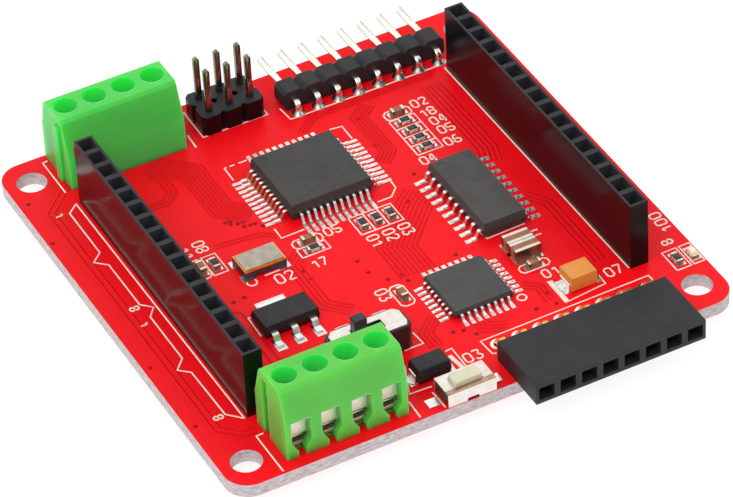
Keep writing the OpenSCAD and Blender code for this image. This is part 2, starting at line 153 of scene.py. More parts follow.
@dataclass(frozen=True)
class Finish:
    """One real material with the way its surface was made.

    The base class gives an even surface with a slow drift of colour and a fine grain, which is
    what moulding, plating and firing leave.
    """

    name: str
    slot: str
    colour: str
    second: str
    roughness: float
    metallic: float = 0.0
    ior: float = 1.5
    specular: float = 0.5
    coat: float = 0.0
    coat_roughness: float = 0.08
    glow: float = 0.0
    glow_mm: float = 3.0
    glow_shares: Point = (0.25, 1.0, 0.35)
    drift_mm: float = 3.0
    grain_mm: float = 0.25
    grain_depth_mm: float = 0.004
    uneven: float = 0.08
    stretch: Point = (1.0, 1.0, 1.0)

    def material(self) -> bpy.types.Material:
        """Makes the material, or returns it where it is made already."""
        ready = bpy.data.materials.get(self.name)
        if ready is not None:
            return ready
        made = bpy.data.materials.new(self.name)
        made.use_nodes = True
        made.diffuse_color = linear(self.colour)
        tree = made.node_tree
        shader = tree.nodes["Principled BSDF"]
        shader.inputs["Metallic"].default_value = self.metallic
        if self.metallic < 0.5:
            shader.inputs["IOR"].default_value = self.ior
            shader.inputs["Specular IOR Level"].default_value = self.specular
        shader.inputs["Coat Weight"].default_value = self.coat
        shader.inputs["Coat Roughness"].default_value = self.coat_roughness
        if self.glow:
            shader.inputs["Subsurface Weight"].default_value = self.glow
            shader.inputs["Subsurface Radius"].default_value = self.glow_shares
            shader.inputs["Subsurface Scale"].default_value = self.glow_mm * MM
        self.pattern(tree, shader)
        return made

    def coordinates(self, tree: bpy.types.NodeTree) -> bpy.types.NodeSocket:
        """Object coordinates, stretched along the way the surface was worked."""
        spot = add(tree, "ShaderNodeTexCoord").outputs["Object"]
        laid = add(tree, "ShaderNodeMapping", {"Scale": self.stretch}, {"Vector": spot})
        return laid.outputs["Vector"]

    def pattern(self, tree: bpy.types.NodeTree, shader: bpy.types.Node) -> None:
        """Adds the drift of colour, the uneven gloss and the grain.

        Args:
            tree: the material's tree.
            shader: its Principled shader.
        """
        where = self.coordinates(tree)
        drift = add(
            tree,
            "ShaderNodeTexNoise",
            {"Scale": per_mm(self.drift_mm), "Detail": 3.0, "Roughness": 0.55},
            {"Vector": where},
        )
        cloud = add(
            tree,
            "ShaderNodeMapRange",
            {"From Min": NOISE_LOW, "From Max": NOISE_HIGH},
            {"Value": drift.outputs["Fac"]},
        )
        tint = add(
            tree,
            "ShaderNodeMix",
            {6: linear(self.colour), 7: linear(self.second)},
            {0: cloud.outputs["Result"]},
            data_type="RGBA",
        )
        tree.links.new(tint.outputs[2], shader.inputs["Base Color"])
        grain = add(
            tree,
            "ShaderNodeTexNoise",
            {"Scale": per_mm(self.grain_mm), "Detail": 2.0},
            {"Vector": where},
        )
        gloss = add(
            tree,
            "ShaderNodeMapRange",
            {
                "To Min": max(0.02, self.roughness - self.uneven),
                "To Max": min(1.0, self.roughness + self.uneven),
            },
            {"Value": drift.outputs["Fac"]},
        )
        tree.links.new(gloss.outputs["Result"], shader.inputs["Roughness"])
        bump = add(
            tree,
            "ShaderNodeBump",
            {"Strength": 0.6, "Distance": self.grain_depth_mm * MM},
            {"Height": grain.outputs["Fac"]},
        )
        tree.links.new(bump.outputs["Normal"], shader.inputs["Normal"])


@dataclass(frozen=True)
class SolderMask(Finish):
    """Liquid photo-imaged solder mask, flood-coated over copper and glass cloth.

    It gives a wet-looking red that is slightly darker in soft clouds, with the weave of the cloth
    as a very shallow quilting.
    """

    weave_mm: float = 0.55

    def pattern(self, tree: bpy.types.NodeTree, shader: bpy.types.Node) -> None:
        """Adds the quilting of the cloth under the even coat.

        Args:
            tree: the material's tree.
            shader: its Principled shader.
        """
        super().pattern(tree, shader)
        where = self.coordinates(tree)
        warp = add(
            tree,
            "ShaderNodeTexWave",
            {"Scale": per_mm(self.weave_mm) / 20, "Distortion": 0.6, "Detail": 1.0},
            {"Vector": where},
            bands_direction="X",
        )
        weft = add(
            tree,
            "ShaderNodeTexWave",
            {"Scale": per_mm(self.weave_mm) / 20, "Distortion": 0.6, "Detail": 1.0},
            {"Vector": where},
            bands_direction="Y",
        )
        cloth = add(
            tree,
            "ShaderNodeMath",
            None,
            {0: warp.outputs["Fac"], 1: weft.outputs["Fac"]},
            operation="MULTIPLY",
        )
        quilting = add(
            tree,
            "ShaderNodeBump",
            {"Strength": 0.35, "Distance": 0.006 * MM},
            {"Height": cloth.outputs["Value"]},
        )
        old = shader.inputs["Normal"].links[0].from_socket
        tree.links.new(old, quilting.inputs["Normal"])
        tree.links.new(quilting.outputs["Normal"], shader.inputs["Normal"])


@dataclass(frozen=True)
class Speckled(Finish):
    """A moulded or fired surface whose filler shows as fine pale specks."""

    speck: str = "#8a8783"
    speck_mm: float = 0.16
    speck_share: float = 0.66

    def pattern(self, tree: bpy.types.NodeTree, shader: bpy.types.Node) -> None:
        """Adds the specks over the drift of colour.

        Args:
            tree: the material's tree.
            shader: its Principled shader.
        """
        super().pattern(tree, shader)
        where = self.coordinates(tree)
        specks = add(
            tree,
            "ShaderNodeTexNoise",
            {"Scale": per_mm(self.speck_mm), "Detail": 1.0},
            {"Vector": where},
        )
        share = add(
            tree,
            "ShaderNodeMapRange",
            {"From Min": self.speck_share, "From Max": 0.82},
            {"Value": specks.outputs["Fac"]},
        )
        old = shader.inputs["Base Color"].links[0].from_socket
        mixed = add(
            tree,
            "ShaderNodeMix",
            {7: linear(self.speck)},
            {0: share.outputs["Result"], 6: old},
            data_type="RGBA",
        )
        tree.links.new(mixed.outputs[2], shader.inputs["Base Color"])


# Liquid photo-imaged solder mask over copper: wet-looking, saturated red.
MASK = SolderMask(
    "solder_mask_red", "board_laminate", "#f00e19", "#ea0d18", 0.34, specular=0.12,
    drift_mm=5.0, grain_mm=0.5, grain_depth_mm=0.003, uneven=0.05,
)
# The same mask where it climbs over etched copper: a touch deeper.
MASK_ON_COPPER = SolderMask(
    "solder_mask_on_copper", "board_laminate", "#df0c18", "#d80b17", 0.36, specular=0.1,
    drift_mm=2.0, grain_mm=0.4, grain_depth_mm=0.002, uneven=0.04,
)
# Routed glass-epoxy edge: pale, chalky, with the layers of cloth as streaks.
LAMINATE_EDGE = Speckled(
    "glass_epoxy_routed_edge", "board_laminate", "#dacfd0", "#aa9b9d", 0.85,
    drift_mm=0.9, grain_mm=0.12, grain_depth_mm=0.03, uneven=0.1, stretch=(1.0, 1.0, 3.5),
    speck="#8c7678", speck_mm=0.35, speck_share=0.58,
)
# Open via tented with mask: a dark red dimple.
VIA = Finish(
    "tented_via", "board_laminate", "#9c0d17", "#8a0b14", 0.5, specular=0.1, drift_mm=0.4,
    grain_mm=0.1,
)
# Screen-printed epoxy ink: matt off-white that covers a little unevenly.
INK = Finish(
    "screen_printed_ink", "legend_ink", "#f6ecde", "#e9d3c6", 0.62, drift_mm=0.6,
    grain_mm=0.12, grain_depth_mm=0.004,
)
# Glass-filled black polyester, moulded against polished steel: it mirrors at low angles.
GLOSSY_POLYESTER = Finish(
    "polyester_moulded_glossy", "header_plastic", "#0c090c", "#080709", 0.19,
    specular=0.4, drift_mm=6.0, grain_mm=0.4, grain_depth_mm=0.0001, uneven=0.02,
)
# The same plastic from a worn mould: black, with a softer mirror.
WORN_POLYESTER = Finish(
    "polyester_moulded_worn", "header_plastic", "#0f0f12", "#0b0b0e", 0.24,
    specular=0.2, drift_mm=6.0, grain_mm=0.4, grain_depth_mm=0.0005, uneven=0.03,
)
# The same plastic moulded against a spark-eroded face: a fine matt texture.
TEXTURED_POLYESTER = Finish(
    "polyester_moulded_textured", "header_plastic", "#222227", "#1b1b20", 0.54,
    specular=0.4, drift_mm=2.0, grain_mm=0.22, grain_depth_mm=0.012, uneven=0.06,
)
# The same plastic inside the cells, where the mould cores leave it dull and dusty.
CELL_POLYESTER = replace(
    TEXTURED_POLYESTER, name="polyester_moulded_cell", colour="#33323a", second="#2b2a32",
    roughness=0.6,
)
# Gold-flashed phosphor bronze spring contact.
CONTACT_METAL = Finish(
    "phosphor_bronze_gold_flashed", "contact_metal", "#ffd878", "#f7c05a", 0.34, metallic=1.0,
    drift_mm=0.8, grain_mm=0.15, grain_depth_mm=0.002,
)
# Bright plated brass pin: warm silver.
PIN_METAL = Finish(
    "brass_pin_bright_plated", "pin_metal", "#fffaf2", "#f4eadc", 0.24, metallic=1.0,
    drift_mm=1.2, grain_mm=0.3, grain_depth_mm=0.0005,
)
# Brass pin with its colour darkened and warmed: a painted reflection of the red board and the dark
# room round it.
PIN_METAL_PAINTED_REFLECTION = Finish(
    "brass_pin_painted_reflection", "pin_metal", "#9c8f80", "#7d7064", 0.16, metallic=1.0,
    drift_mm=1.5, grain_mm=0.2, grain_depth_mm=0.001,
)
# Green polyamide, moulded with a semi-gloss skin and a slight bloom.
TERMINAL_PLASTIC = Finish(
    "polyamide_moulded_green", "terminal_plastic", "#5abc42", "#54b43e", 0.4,
    glow=1.0, drift_mm=6.0, grain_mm=0.18, grain_depth_mm=0.003, uneven=0.05,
)
# The same polyamide in a slightly bluer green, used for the rear block.
TERMINAL_PLASTIC_BLUER = replace(
    TERMINAL_PLASTIC, name="polyamide_moulded_green_bluer", colour="#4ac44c", second="#44bc48",
)
# The same polyamide in a paler green: painted light that lifts the shade on the rear block's wall
# towards the board's middle and inside the screw wells.
TERMINAL_PLASTIC_PAINTED_LIGHT = replace(
    TERMINAL_PLASTIC, name="polyamide_green_painted_light", colour="#46e266", second="#42dc62",
    roughness=0.46,
)
# Tin plate on copper: bright but clouded where it was reflowed.
TIN = Finish(
    "tin_plate_reflowed", "tinned_copper", "#ffffff", "#efebe4", 0.24, metallic=1.0,
    drift_mm=0.5, grain_mm=0.15, grain_depth_mm=0.003, uneven=0.08,
)
# Solder: brighter than plate, with slow ripples where it froze.
SOLDER = Finish(
    "solder_frozen", "solder", "#f3f1ed", "#cfcac2", 0.26, metallic=1.0, drift_mm=0.5,
    grain_mm=0.4, grain_depth_mm=0.008, uneven=0.08,
)
# Solder of the hand-soldered beads under the edge header: darker and a little rougher than the
# other solder.
DULL_SOLDER = Finish(
    "solder_dull", "solder", "#b9b2aa", "#847d76", 0.3, metallic=1.0, drift_mm=0.6,
    grain_mm=0.5, grain_depth_mm=0.006, uneven=0.08,
)
# Tin over silver on the ends of chip parts: satin and a little yellow.
END_TIN = Finish(
    "tin_over_silver_satin", "tinned_copper", "#f8f2e6", "#e2d8c8", 0.4, metallic=1.0,
    drift_mm=0.5, grain_mm=0.12, grain_depth_mm=0.006, uneven=0.08,
)
# The same ends on their upright faces, darkened and browned as painted shade.
END_TIN_PAINTED_SHADE = Finish(
    "tin_over_silver_painted_shade", "tinned_copper", "#a07c60", "#6c5242", 0.32, metallic=1.0,
    drift_mm=0.6, grain_mm=0.12, grain_depth_mm=0.006, uneven=0.08,
)
# Zinc-plated steel screw head.
SCREW_STEEL = Finish(
    "steel_zinc_plated", "screw_steel", "#d6d8da", "#a9acb0", 0.3, metallic=1.0,
    drift_mm=0.7, grain_mm=0.1, grain_depth_mm=0.003,
)
# Nickel-plated brass clamp: pale, a little warm.
CLAMP_METAL = Finish(
    "brass_nickel_plated", "clamp_metal", "#f6eee4", "#e2d6c8", 0.44, metallic=1.0,
    drift_mm=0.9, grain_mm=0.12, grain_depth_mm=0.004, uneven=0.1,
)
# Filled epoxy of a chip package, moulded matt: silica filler shows as fine specks.
CHIP_EPOXY = Speckled(
    "epoxy_moulded_matt", "chip_plastic", "#424140", "#3a3938", 0.6,
    drift_mm=2.5, grain_mm=0.12, grain_depth_mm=0.006, speck="#6f6d69", speck_mm=0.14,
)
# The same epoxy with more lamp black in it.
DARKER_EPOXY = replace(
    CHIP_EPOXY, name="epoxy_moulded_matt_darker", colour="#383634", second="#302e2d",
    roughness=0.62, speck="#64615e",
)
# The same epoxy in small, blacker packages.
BLACK_EPOXY = Speckled(
    "epoxy_moulded_black", "chip_plastic", "#212122", "#19191a", 0.5, specular=0.35,
    drift_mm=1.5, grain_mm=0.12, grain_depth_mm=0.006, speck="#545353", speck_mm=0.14,
)
# Dark co-fired ceramic base of the crystal.
CRYSTAL_CERAMIC = Finish(
    "ceramic_cofired_dark", "crystal_ceramic", "#3b3340", "#2b2530", 0.5, drift_mm=0.8,
)
# Lapped metal lid, satin, slightly clouded.
LID_METAL = Finish(
    "lid_metal_satin", "crystal_lid_metal", "#c0b5a8", "#a69a8d", 0.4, metallic=1.0,
    drift_mm=0.9, grain_mm=0.15, grain_depth_mm=0.002, uneven=0.08,
)
# Gold-plated seal ring under the lid.
SEAL_GOLD = Finish(
    "seal_ring_gold_plated", "crystal_lid_metal", "#ffbb48", "#ec9f32", 0.32, metallic=1.0,
    drift_mm=0.6, grain_mm=0.1,
)
# Orange-yellow epoxy of a tantalum capacitor.
TANTALUM_EPOXY = Finish(
    "epoxy_moulded_orange", "tantalum_resin", "#e0913e", "#d88834", 0.48, drift_mm=1.0,
    grain_mm=0.1, grain_depth_mm=0.005,
)
# The polarity band printed along one end of the tantalum capacitor.
POLARITY_INK = Finish(
    "polarity_band_ink", "tantalum_resin", "#d8974c", "#cf8d43", 0.5, drift_mm=0.5,
)
# Black polyamide of the switches, moulded with a low gloss.
SWITCH_PLASTIC = Finish(
    "polyamide_moulded_black", "switch_plastic", "#26272a", "#1e1f22", 0.4, drift_mm=1.5,
    grain_mm=0.15, grain_depth_mm=0.004,
)
# Bright stamped steel of the switch covers, with fine rolling lines.
SWITCH_STEEL = Finish(
    "steel_stamped_bright", "switch_steel", "#f4ece6", "#e2dad2", 0.32, metallic=1.0,
    drift_mm=0.9, grain_mm=0.15, grain_depth_mm=0.002, uneven=0.08,
)
# The same steel, browned and darkened as a painted reflection, for the top of the reset switch's
# cover in front of the button.
SWITCH_STEEL_PAINTED_REFLECTION = Finish(
    "steel_painted_reflection", "switch_steel", "#c4a48a", "#a98a72", 0.14, metallic=1.0,
    drift_mm=0.6, grain_mm=0.15, grain_depth_mm=0.004, uneven=0.06,
)
# Cream polyamide of the reset button.
BUTTON_PLASTIC = Finish(
    "polyamide_moulded_cream", "button_plastic", "#d3cfb4", "#c8c3a5", 0.42, drift_mm=1.2,
    grain_mm=0.15, grain_depth_mm=0.003,
)
# Black glaze over the resistive film of a chip resistor.
RESISTOR_GLAZE = Finish(
    "resistor_glaze_black", "resistor_glaze", "#2a2a2c", "#1d1d1f", 0.25, drift_mm=0.4,
)
# Alumina of the chip resistor, seen along its sides.
ALUMINA = Finish(
    "alumina_white", "resistor_glaze", "#d9d4cc", "#c7c1b7", 0.7, drift_mm=0.4,
)
# Brown barium titanate of a multilayer capacitor.
CAPACITOR_CERAMIC = Speckled(
    "titanate_fired_brown", "capacitor_ceramic", "#a06a48", "#8a5838", 0.5, drift_mm=0.8,
    grain_mm=0.08, speck="#b98a66", speck_mm=0.1,
)
# Cast resin of the status lamp.
LAMP_RESIN = Finish(
    "resin_cast_cream", "led_resin", "#f6efd8", "#e9dfba", 0.2, coat=0.3, drift_mm=0.4,
)


# ---------------------------------------------------------------- meshes


def new_piece(name: str, mesh: bmesh.types.BMesh, finished: bool = True) -> bpy.types.Object:
    """Turns a bmesh in metres into an object at the origin.

    Args:
        name: the piece's name.
        mesh: its mesh, which is freed.
        finished: True keeps flat faces flat next to rounded edges; False is for a mesh that
            a pattern repeats.

    Returns:
        The new object, in the scene.
    """
    data = bpy.data.meshes.new(name)
    mesh.to_mesh(data)
    mesh.free()
    data.polygons.foreach_set("use_smooth", [True] * len(data.polygons))
    data.set_sharp_from_angle(angle=math.radians(SOFT_EDGE))
    made = bpy.data.objects.new(name, data)
    bpy.context.scene.collection.objects.link(made)
    if finished and len(data.polygons):
        weigh = made.modifiers.new("weigh", "WEIGHTED_NORMAL")
        weigh.keep_sharp = True
        weigh.weight = 100
        view = bpy.context.evaluated_depsgraph_get()
        made.data = bpy.data.meshes.new_from_object(made.evaluated_get(view), depsgraph=view)
        made.modifiers.remove(weigh)
        bpy.data.meshes.remove(data)
        made.data.name = name
    return made


def ease(mesh: bmesh.types.BMesh, width: float, steps: int = 2, over: float = 35.0) -> None:
    """Rounds the sharp edges of a mesh.

    Args:
        mesh: the mesh, in metres.
        width: width of the rounding, in mm.
        steps: segments across it.
        over: edges sharper than this many degrees are rounded.
    """
    sharp = [e for e in mesh.edges if e.calc_face_angle(0.0) > math.radians(over)]
    bmesh.ops.bevel(
        mesh, geom=sharp, offset=width * MM, offset_type="OFFSET", segments=steps,
        profile=0.5, affect="EDGES", clamp_overlap=True,
    )


def cad_mesh(*nodes: str) -> bmesh.types.BMesh:
    """A merged copy of some CAD nodes with their flat faces whole again.

    Args:
        nodes: the nodes' names.

    Returns:
        The mesh, in metres.
    """
    mesh = bmesh.new()
    for node in nodes:
        mesh.from_mesh(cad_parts[node].data)
    bmesh.ops.remove_doubles(mesh, verts=mesh.verts, dist=0.001 * MM)
    bmesh.ops.dissolve_limit(
        mesh, angle_limit=math.radians(0.5), verts=mesh.verts, edges=mesh.edges
    )
    return mesh


def prism(
    mesh: bmesh.types.BMesh, outline: Sequence[Flat], low: float, high: float, turn: Matrix
) -> None:
    """Adds an extruded outline to a mesh.

    Args:
        mesh: the mesh to add to, in metres.
        outline: the outline's corners, anticlockwise, in mm.
        low: height at which it starts, in mm.
        high: height at which it ends.
        turn: matrix from the outline's frame to the board's, in mm.
    """
    rings = [
        [mesh.verts.new(turn @ Vector((x, y, z)) * MM) for x, y in outline] for z in (low, high)
    ]
    mesh.faces.new(list(reversed(rings[0])))
    mesh.faces.new(rings[1])
    for i in range(len(outline)):
        j = (i + 1) % len(outline)
        mesh.faces.new((rings[0][i], rings[0][j], rings[1][j], rings[1][i]))


def block(mesh: bmesh.types.BMesh, low: Point, high: Point) -> None:
    """Adds a box between two corners, in mm."""
    outline = [(low[0], low[1]), (high[0], low[1]), (high[0], high[1]), (low[0], high[1])]
    prism(mesh, outline, low[2], high[2], Matrix.Identity(4))


def rounded(path: Sequence[Flat], radius: float, steps: int = 4) -> list[Flat]:
    """Rounds the inner corners of an open path.

    Args:
        path: the path's points.
        radius: radius of the bend, cut down where a leg is too short for it.
        steps: straight pieces to each bend.

    Returns:
        The path with an arc at each inner corner.
    """
    points = [Vector(p) for p in path]
    out = [points[0]]
    for before, here, after in zip(points, points[1:], points[2:]):
        back, ahead = before - here, after - here
        angle = back.angle(ahead, math.pi)
        if angle > math.radians(176):
            out.append(here)
            continue
        reach = min(radius / math.tan(angle / 2), back.length * 0.48, ahead.length * 0.48)
        first, last = here + back.normalized() * reach, here + ahead.normalized() * reach
        for i in range(steps + 1):
            t = i / steps
            out.append(first * (1 - t) ** 2 + here * 2 * t * (1 - t) + last * t**2)
    out.append(points[-1])
    return [(p.x, p.y) for p in out]


def strip(
    mesh: bmesh.types.BMesh,
    path: Sequence[Flat],
    wide: float,
    thick: float,
    place: Matrix,
    heel: float = 1.0,
    tip: float = 1.0,
) -> None:
    """Adds a rectangular wire or strip bent along a path.

    Args:
        mesh: the mesh to add to, in metres.
        path: centre line as (along, up) in mm.
        wide: width across the plane of the path, in mm.
        thick: thickness in that plane, in mm.
        place: matrix from (along, up, across) to the board's frame, in mm.
        heel: share of both sizes that is left at the start.
        tip: share of both sizes that is left at the end.
    """
    points = [Vector(p) for p in path]
    last = len(points) - 1
    rings = []
    for i, here in enumerate(points):
        before, after = points[max(i - 1, 0)], points[min(i + 1, last)]
        way = (after - before).normalized()
        side = Vector((-way.y, way.x))
        share = heel if i == 0 else tip if i == last else 1.0
        half = thick / 2 * share
        if 0 < i < last:
            leg = (here - before).normalized()
            half /= max(0.5, side.dot(Vector((-leg.y, leg.x))))
        across = wide / 2 * share
        corners = [(-half, -across), (-half, across), (half, across), (half, -across)]
        ring = []
        for out, over in corners:
            spot = here + side * out
            ring.append(mesh.verts.new(place @ Vector((spot.x, spot.y, over)) * MM))
        rings.append(ring)
    faces = [mesh.faces.new(rings[0]), mesh.faces.new(rings[-1])]
    for low, high in zip(rings, rings[1:]):
        for i in range(4):
            j = (i + 1) % 4
            faces.append(mesh.faces.new((low[i], low[j], high[j], high[i])))
    bmesh.ops.recalc_face_normals(mesh, faces=faces)


# Places of a path drawn as (along, up, across): running along X, along Y, or upright.
ALONG_X = Matrix(((1, 0, 0, 0), (0, 0, -1, 0), (0, 1, 0, 0), (0, 0, 0, 1)))
ALONG_Y = Matrix(((0, 0, 1, 0), (1, 0, 0, 0), (0, 1, 0, 0), (0, 0, 0, 1)))
UPRIGHT = Matrix(((0, 1, 0, 0), (0, 0, 1, 0), (1, 0, 0, 0), (0, 0, 0, 1)))
FLAT_ALONG_Y = Matrix(((0, 1, 0, 0), (1, 0, 0, 0), (0, 0, 1, 0), (0, 0, 0, 1)))


def shifted(x: float, y: float, z: float, turn: float = 0.0) -> Matrix:
    """Matrix that turns about Z by some degrees and then moves, in mm."""
    return Matrix.Translation((x, y, z)) @ Matrix.Rotation(math.radians(turn), 4, "Z")


def islands(node: str) -> list[tuple[Vector, Vector]]:
    """Finds the separate solids of a CAD node.

    Args:
        node: the node's name.

    Returns:
        The lowest and highest corner of each solid, in mm.
    """
    mesh = cad_mesh(node)
    left = set(mesh.verts)
    found = []
    while left:
        group = [left.pop()]
        for spot in group:
            for edge in spot.link_edges:
                other = edge.other_vert(spot)
                if other in left:
                    left.remove(other)
                    group.append(other)
        low = Vector(min(v.co[i] for v in group) for i in range(3)) / MM
        high = Vector(max(v.co[i] for v in group) for i in range(3)) / MM
        found.append((low, high))
    mesh.free()
    return sorted(found, key=lambda pair: (round(pair[0].x, 2), round(pair[0].y, 2)))


@cache
def node_box(node: str) -> tuple[Vector, Vector]:
    """Lowest and highest corner of a CAD node's box in metres, kept for the next caller."""
    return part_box(node)


def middle(node: str) -> Flat:
    """Centre of a CAD node's box, seen from above, in mm."""
    low, high = node_box(node)
    return (low.x + high.x) / 2 / MM, (low.y + high.y) / 2 / MM


def inset(node: str, spot: Vector) -> float:
    """How far inside the upright sides of a CAD node's box a spot lies, in mm."""
    low, high = node_box(node)
    return min(spot.x - low.x, high.x - spot.x, spot.y - low.y, high.y - spot.y) / MM


def copied(
    name: str, node: str, width: float, steps: int = 2, over: float = 35.0
) -> bpy.types.Object:
    """A copy of a CAD node with its sharp edges rounded.

    Args:
        name: the piece's name.
        node: the node.
        width: width of the rounding, in mm.
        steps: segments across it.
        over: edges sharper than this many degrees are rounded.

    Returns:
        The new piece.
    """
    mesh = cad_mesh(node)
    ease(mesh, width, steps, over)
    return new_piece(name, mesh)


def dress(
    piece: bpy.types.Object,
    finishes: Sequence[Finish],
    choose: Callable[[bpy.types.MeshPolygon], int],
) -> None:
    """Gives a piece several finishes and picks one for each face.

    Args:
        piece: the piece.
        finishes: its finishes, in the order of its material slots.
        choose: gives a face's place in that order.
    """
    for finish in finishes:
        piece.data.materials.append(finish.material())
    for face in piece.data.polygons:
        face.material_index = choose(face)


def faces_up(face: bpy.types.MeshPolygon) -> bool:
    """Whether a face looks up rather than sideways or down."""
    return face.normal.z > 0.5


def settle(piece: bpy.types.Object, finish: Finish, body: str, *nodes: str) -> None:
    """Gives a finished piece its material and body, and hides the nodes it stands for.

    Args:
        piece: the finished piece.
        finish: its finish, which it gets as its material where it has none.
        body: the CAD body it rides on.
        nodes: CAD nodes that it replaces.
    """
    if not piece.data.materials:
        piece.data.materials.append(finish.material())
    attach(piece, body)
    if nodes:
        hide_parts(*nodes)
    LOG.info("%s rides on %s", piece.name, body)


# ---------------------------------------------------------------- geometry nodes


@dataclass
class Pattern:
    """A geometry tree that repeats a mesh or lays a section along one."""

    name: str
    tree: bpy.types.NodeTree = field(init=False)
    inputs: dict[str, str] = field(init=False, default_factory=dict)

    def __post_init__(self) -> None:
        """Builds the tree with its Geometry and Finish sockets, then its own part."""
        self.tree = bpy.data.node_groups.new(self.name, "GeometryNodeTree")
        self.tree.interface.new_socket(
            "Geometry", in_out="INPUT", socket_type="NodeSocketGeometry"
        )
        self.tree.interface.new_socket(
            "Geometry", in_out="OUTPUT", socket_type="NodeSocketGeometry"
        )
        self.socket("Finish", "NodeSocketMaterial")
        self.sizes()
        start = add(self.tree, "NodeGroupInput")
        grown = self.grow(start)
        real = add(self.tree, "GeometryNodeRealizeInstances", None, {"Geometry": grown})
        dressed = add(
            self.tree,
            "GeometryNodeSetMaterial",
            None,
            {"Geometry": real.outputs[0], "Material": start.outputs["Finish"]},
        )
        add(self.tree, "NodeGroupOutput", None, {0: dressed.outputs[0]})

    def socket(self, name: str, kind: str) -> None:
        """Adds a named input and keeps its identifier."""
        made = self.tree.interface.new_socket(name, in_out="INPUT", socket_type=kind)
        self.inputs[name] = made.identifier

    def sizes(self) -> None:
        """Adds the tree's own inputs."""
        raise NotImplementedError

    def grow(self, start: bpy.types.Node) -> bpy.types.NodeSocket:
        """Adds the tree's own nodes.

        Args:
            start: the tree's input node.

        Returns:
            The socket with what they make.
        """
        raise NotImplementedError

    def make(
        self, name: str, seed: bpy.types.Object, finish: Finish, **values: Any
    ) -> bpy.types.Object:
        """Runs the tree on a mesh and keeps the result as a plain piece.

        Args:
            name: name of the new piece.
            seed: the object whose mesh is repeated or followed, which is removed.
            finish: the finish the tree sets.
            values: the tree's inputs by name, with _ for a space.

        Returns:
            The plain piece, with no modifier.
        """
        modifier = seed.modifiers.new(self.name, "NODES")
        modifier.node_group = self.tree
        modifier[self.inputs["Finish"]] = finish.material()
        for key, value in values.items():
            modifier[self.inputs[key.replace("_", " ")]] = value
        view = bpy.context.evaluated_depsgraph_get()
        data = bpy.data.meshes.new_from_object(seed.evaluated_get(view), depsgraph=view)
        data.name = name
        used = [seed] + [v for v in values.values() if isinstance(v, bpy.types.Object)]
        for spent in used:
            old = spent.data
            bpy.data.objects.remove(spent)
            bpy.data.meshes.remove(old)
        data.materials.clear()
        data.materials.append(finish.material())
        data.polygons.foreach_set("material_index", [0] * len(data.polygons))
        made = bpy.data.objects.new(name, data)
        bpy.context.scene.collection.objects.link(made)
        return made


class GridPattern(Pattern):
    """Repeats a mesh in rows: Count A along Step A, and Count B along Step B."""

    def sizes(self) -> None:
        """Adds the counts and steps."""
        for letter in "AB":
            self.socket(f"Count {letter}", "NodeSocketInt")
            self.socket(f"Step {letter}", "NodeSocketVector")

    def grow(self, start: bpy.types.Node) -> bpy.types.NodeSocket:
        """Instances the mesh on one line, and that line on the other.

        Args:
            start: the tree's input node.

        Returns:
            The socket with the rows.
        """
        shape = start.outputs["Geometry"]
        for letter in "AB":
            line = add(
                self.tree,
                "GeometryNodeMeshLine",
                None,
                {
                    "Count": start.outputs[f"Count {letter}"],
                    "Offset": start.outputs[f"Step {letter}"],
                },
            )
            laid = add(
                self.tree,
                "GeometryNodeInstanceOnPoints",
                None,
                {"Points": line.outputs[0], "Instance": shape},
            )
            shape = laid.outputs[0]
        return shape


class SidesPattern(Pattern):
    """Repeats a mesh in a row along Y, and that row round the sides of a package."""

    def sizes(self) -> None:
        """Adds the lead count, pitch, number of sides and centre."""
        self.socket("Leads", "NodeSocketInt")
        self.socket("Pitch", "NodeSocketFloat")
        self.socket("Sides", "NodeSocketInt")
        self.socket("Centre", "NodeSocketVector")

    def grow(self, start: bpy.types.Node) -> bpy.types.NodeSocket:
        """Lays the row, centres it, and turns a copy of it to each side.

        Args:
            start: the tree's input node.

        Returns:
            The socket with all the sides.
        """
        tree = self.tree
        step = add(tree, "ShaderNodeCombineXYZ", None, {"Y": start.outputs["Pitch"]})
        last = add(
            tree, "ShaderNodeMath", {1: 1.0}, {0: start.outputs["Leads"]}, operation="SUBTRACT"
        )
        half = add(
            tree, "ShaderNodeMath", {1: -0.5}, {0: last.outputs[0]}, operation="MULTIPLY"
        )
        first = add(
            tree,
            "ShaderNodeVectorMath",
            None,
            {0: step.outputs[0], "Scale": half.outputs[0]},
            operation="SCALE",
        )
        line = add(
            tree,
            "GeometryNodeMeshLine",
            None,
            {
                "Count": start.outputs["Leads"],
                "Start Location": first.outputs[0],
                "Offset": step.outputs[0],
            },
        )
        row = add(
            tree,
            "GeometryNodeInstanceOnPoints",
            None,
            {"Points": line.outputs[0], "Instance": start.outputs["Geometry"]},
        )
        sides = add(
            tree,
            "GeometryNodeMeshLine",
            {"Offset": (0.0, 0.0, 0.0)},
            {"Count": start.outputs["Sides"]},
        )
        share = add(
            tree,
            "ShaderNodeMath",
            {0: math.tau},
            {1: start.outputs["Sides"]},
            operation="DIVIDE",
        )
        number = add(tree, "GeometryNodeInputIndex")
        angle = add(
            tree,
            "ShaderNodeMath",
            None,
            {0: number.outputs[0], 1: share.outputs[0]},
            operation="MULTIPLY",
        )
        turn = add(tree, "ShaderNodeCombineXYZ", None, {"Z": angle.outputs[0]})
        turned = add(
            tree,
            "GeometryNodeInstanceOnPoints",
            None,
            {"Points": sides.outputs[0], "Instance": row.outputs[0], "Rotation": turn.outputs[0]},
        )
        moved = add(
            tree,
            "GeometryNodeTransform",
            None,
            {"Geometry": turned.outputs[0], "Translation": start.outputs["Centre"]},
        )
        return moved.outputs[0]


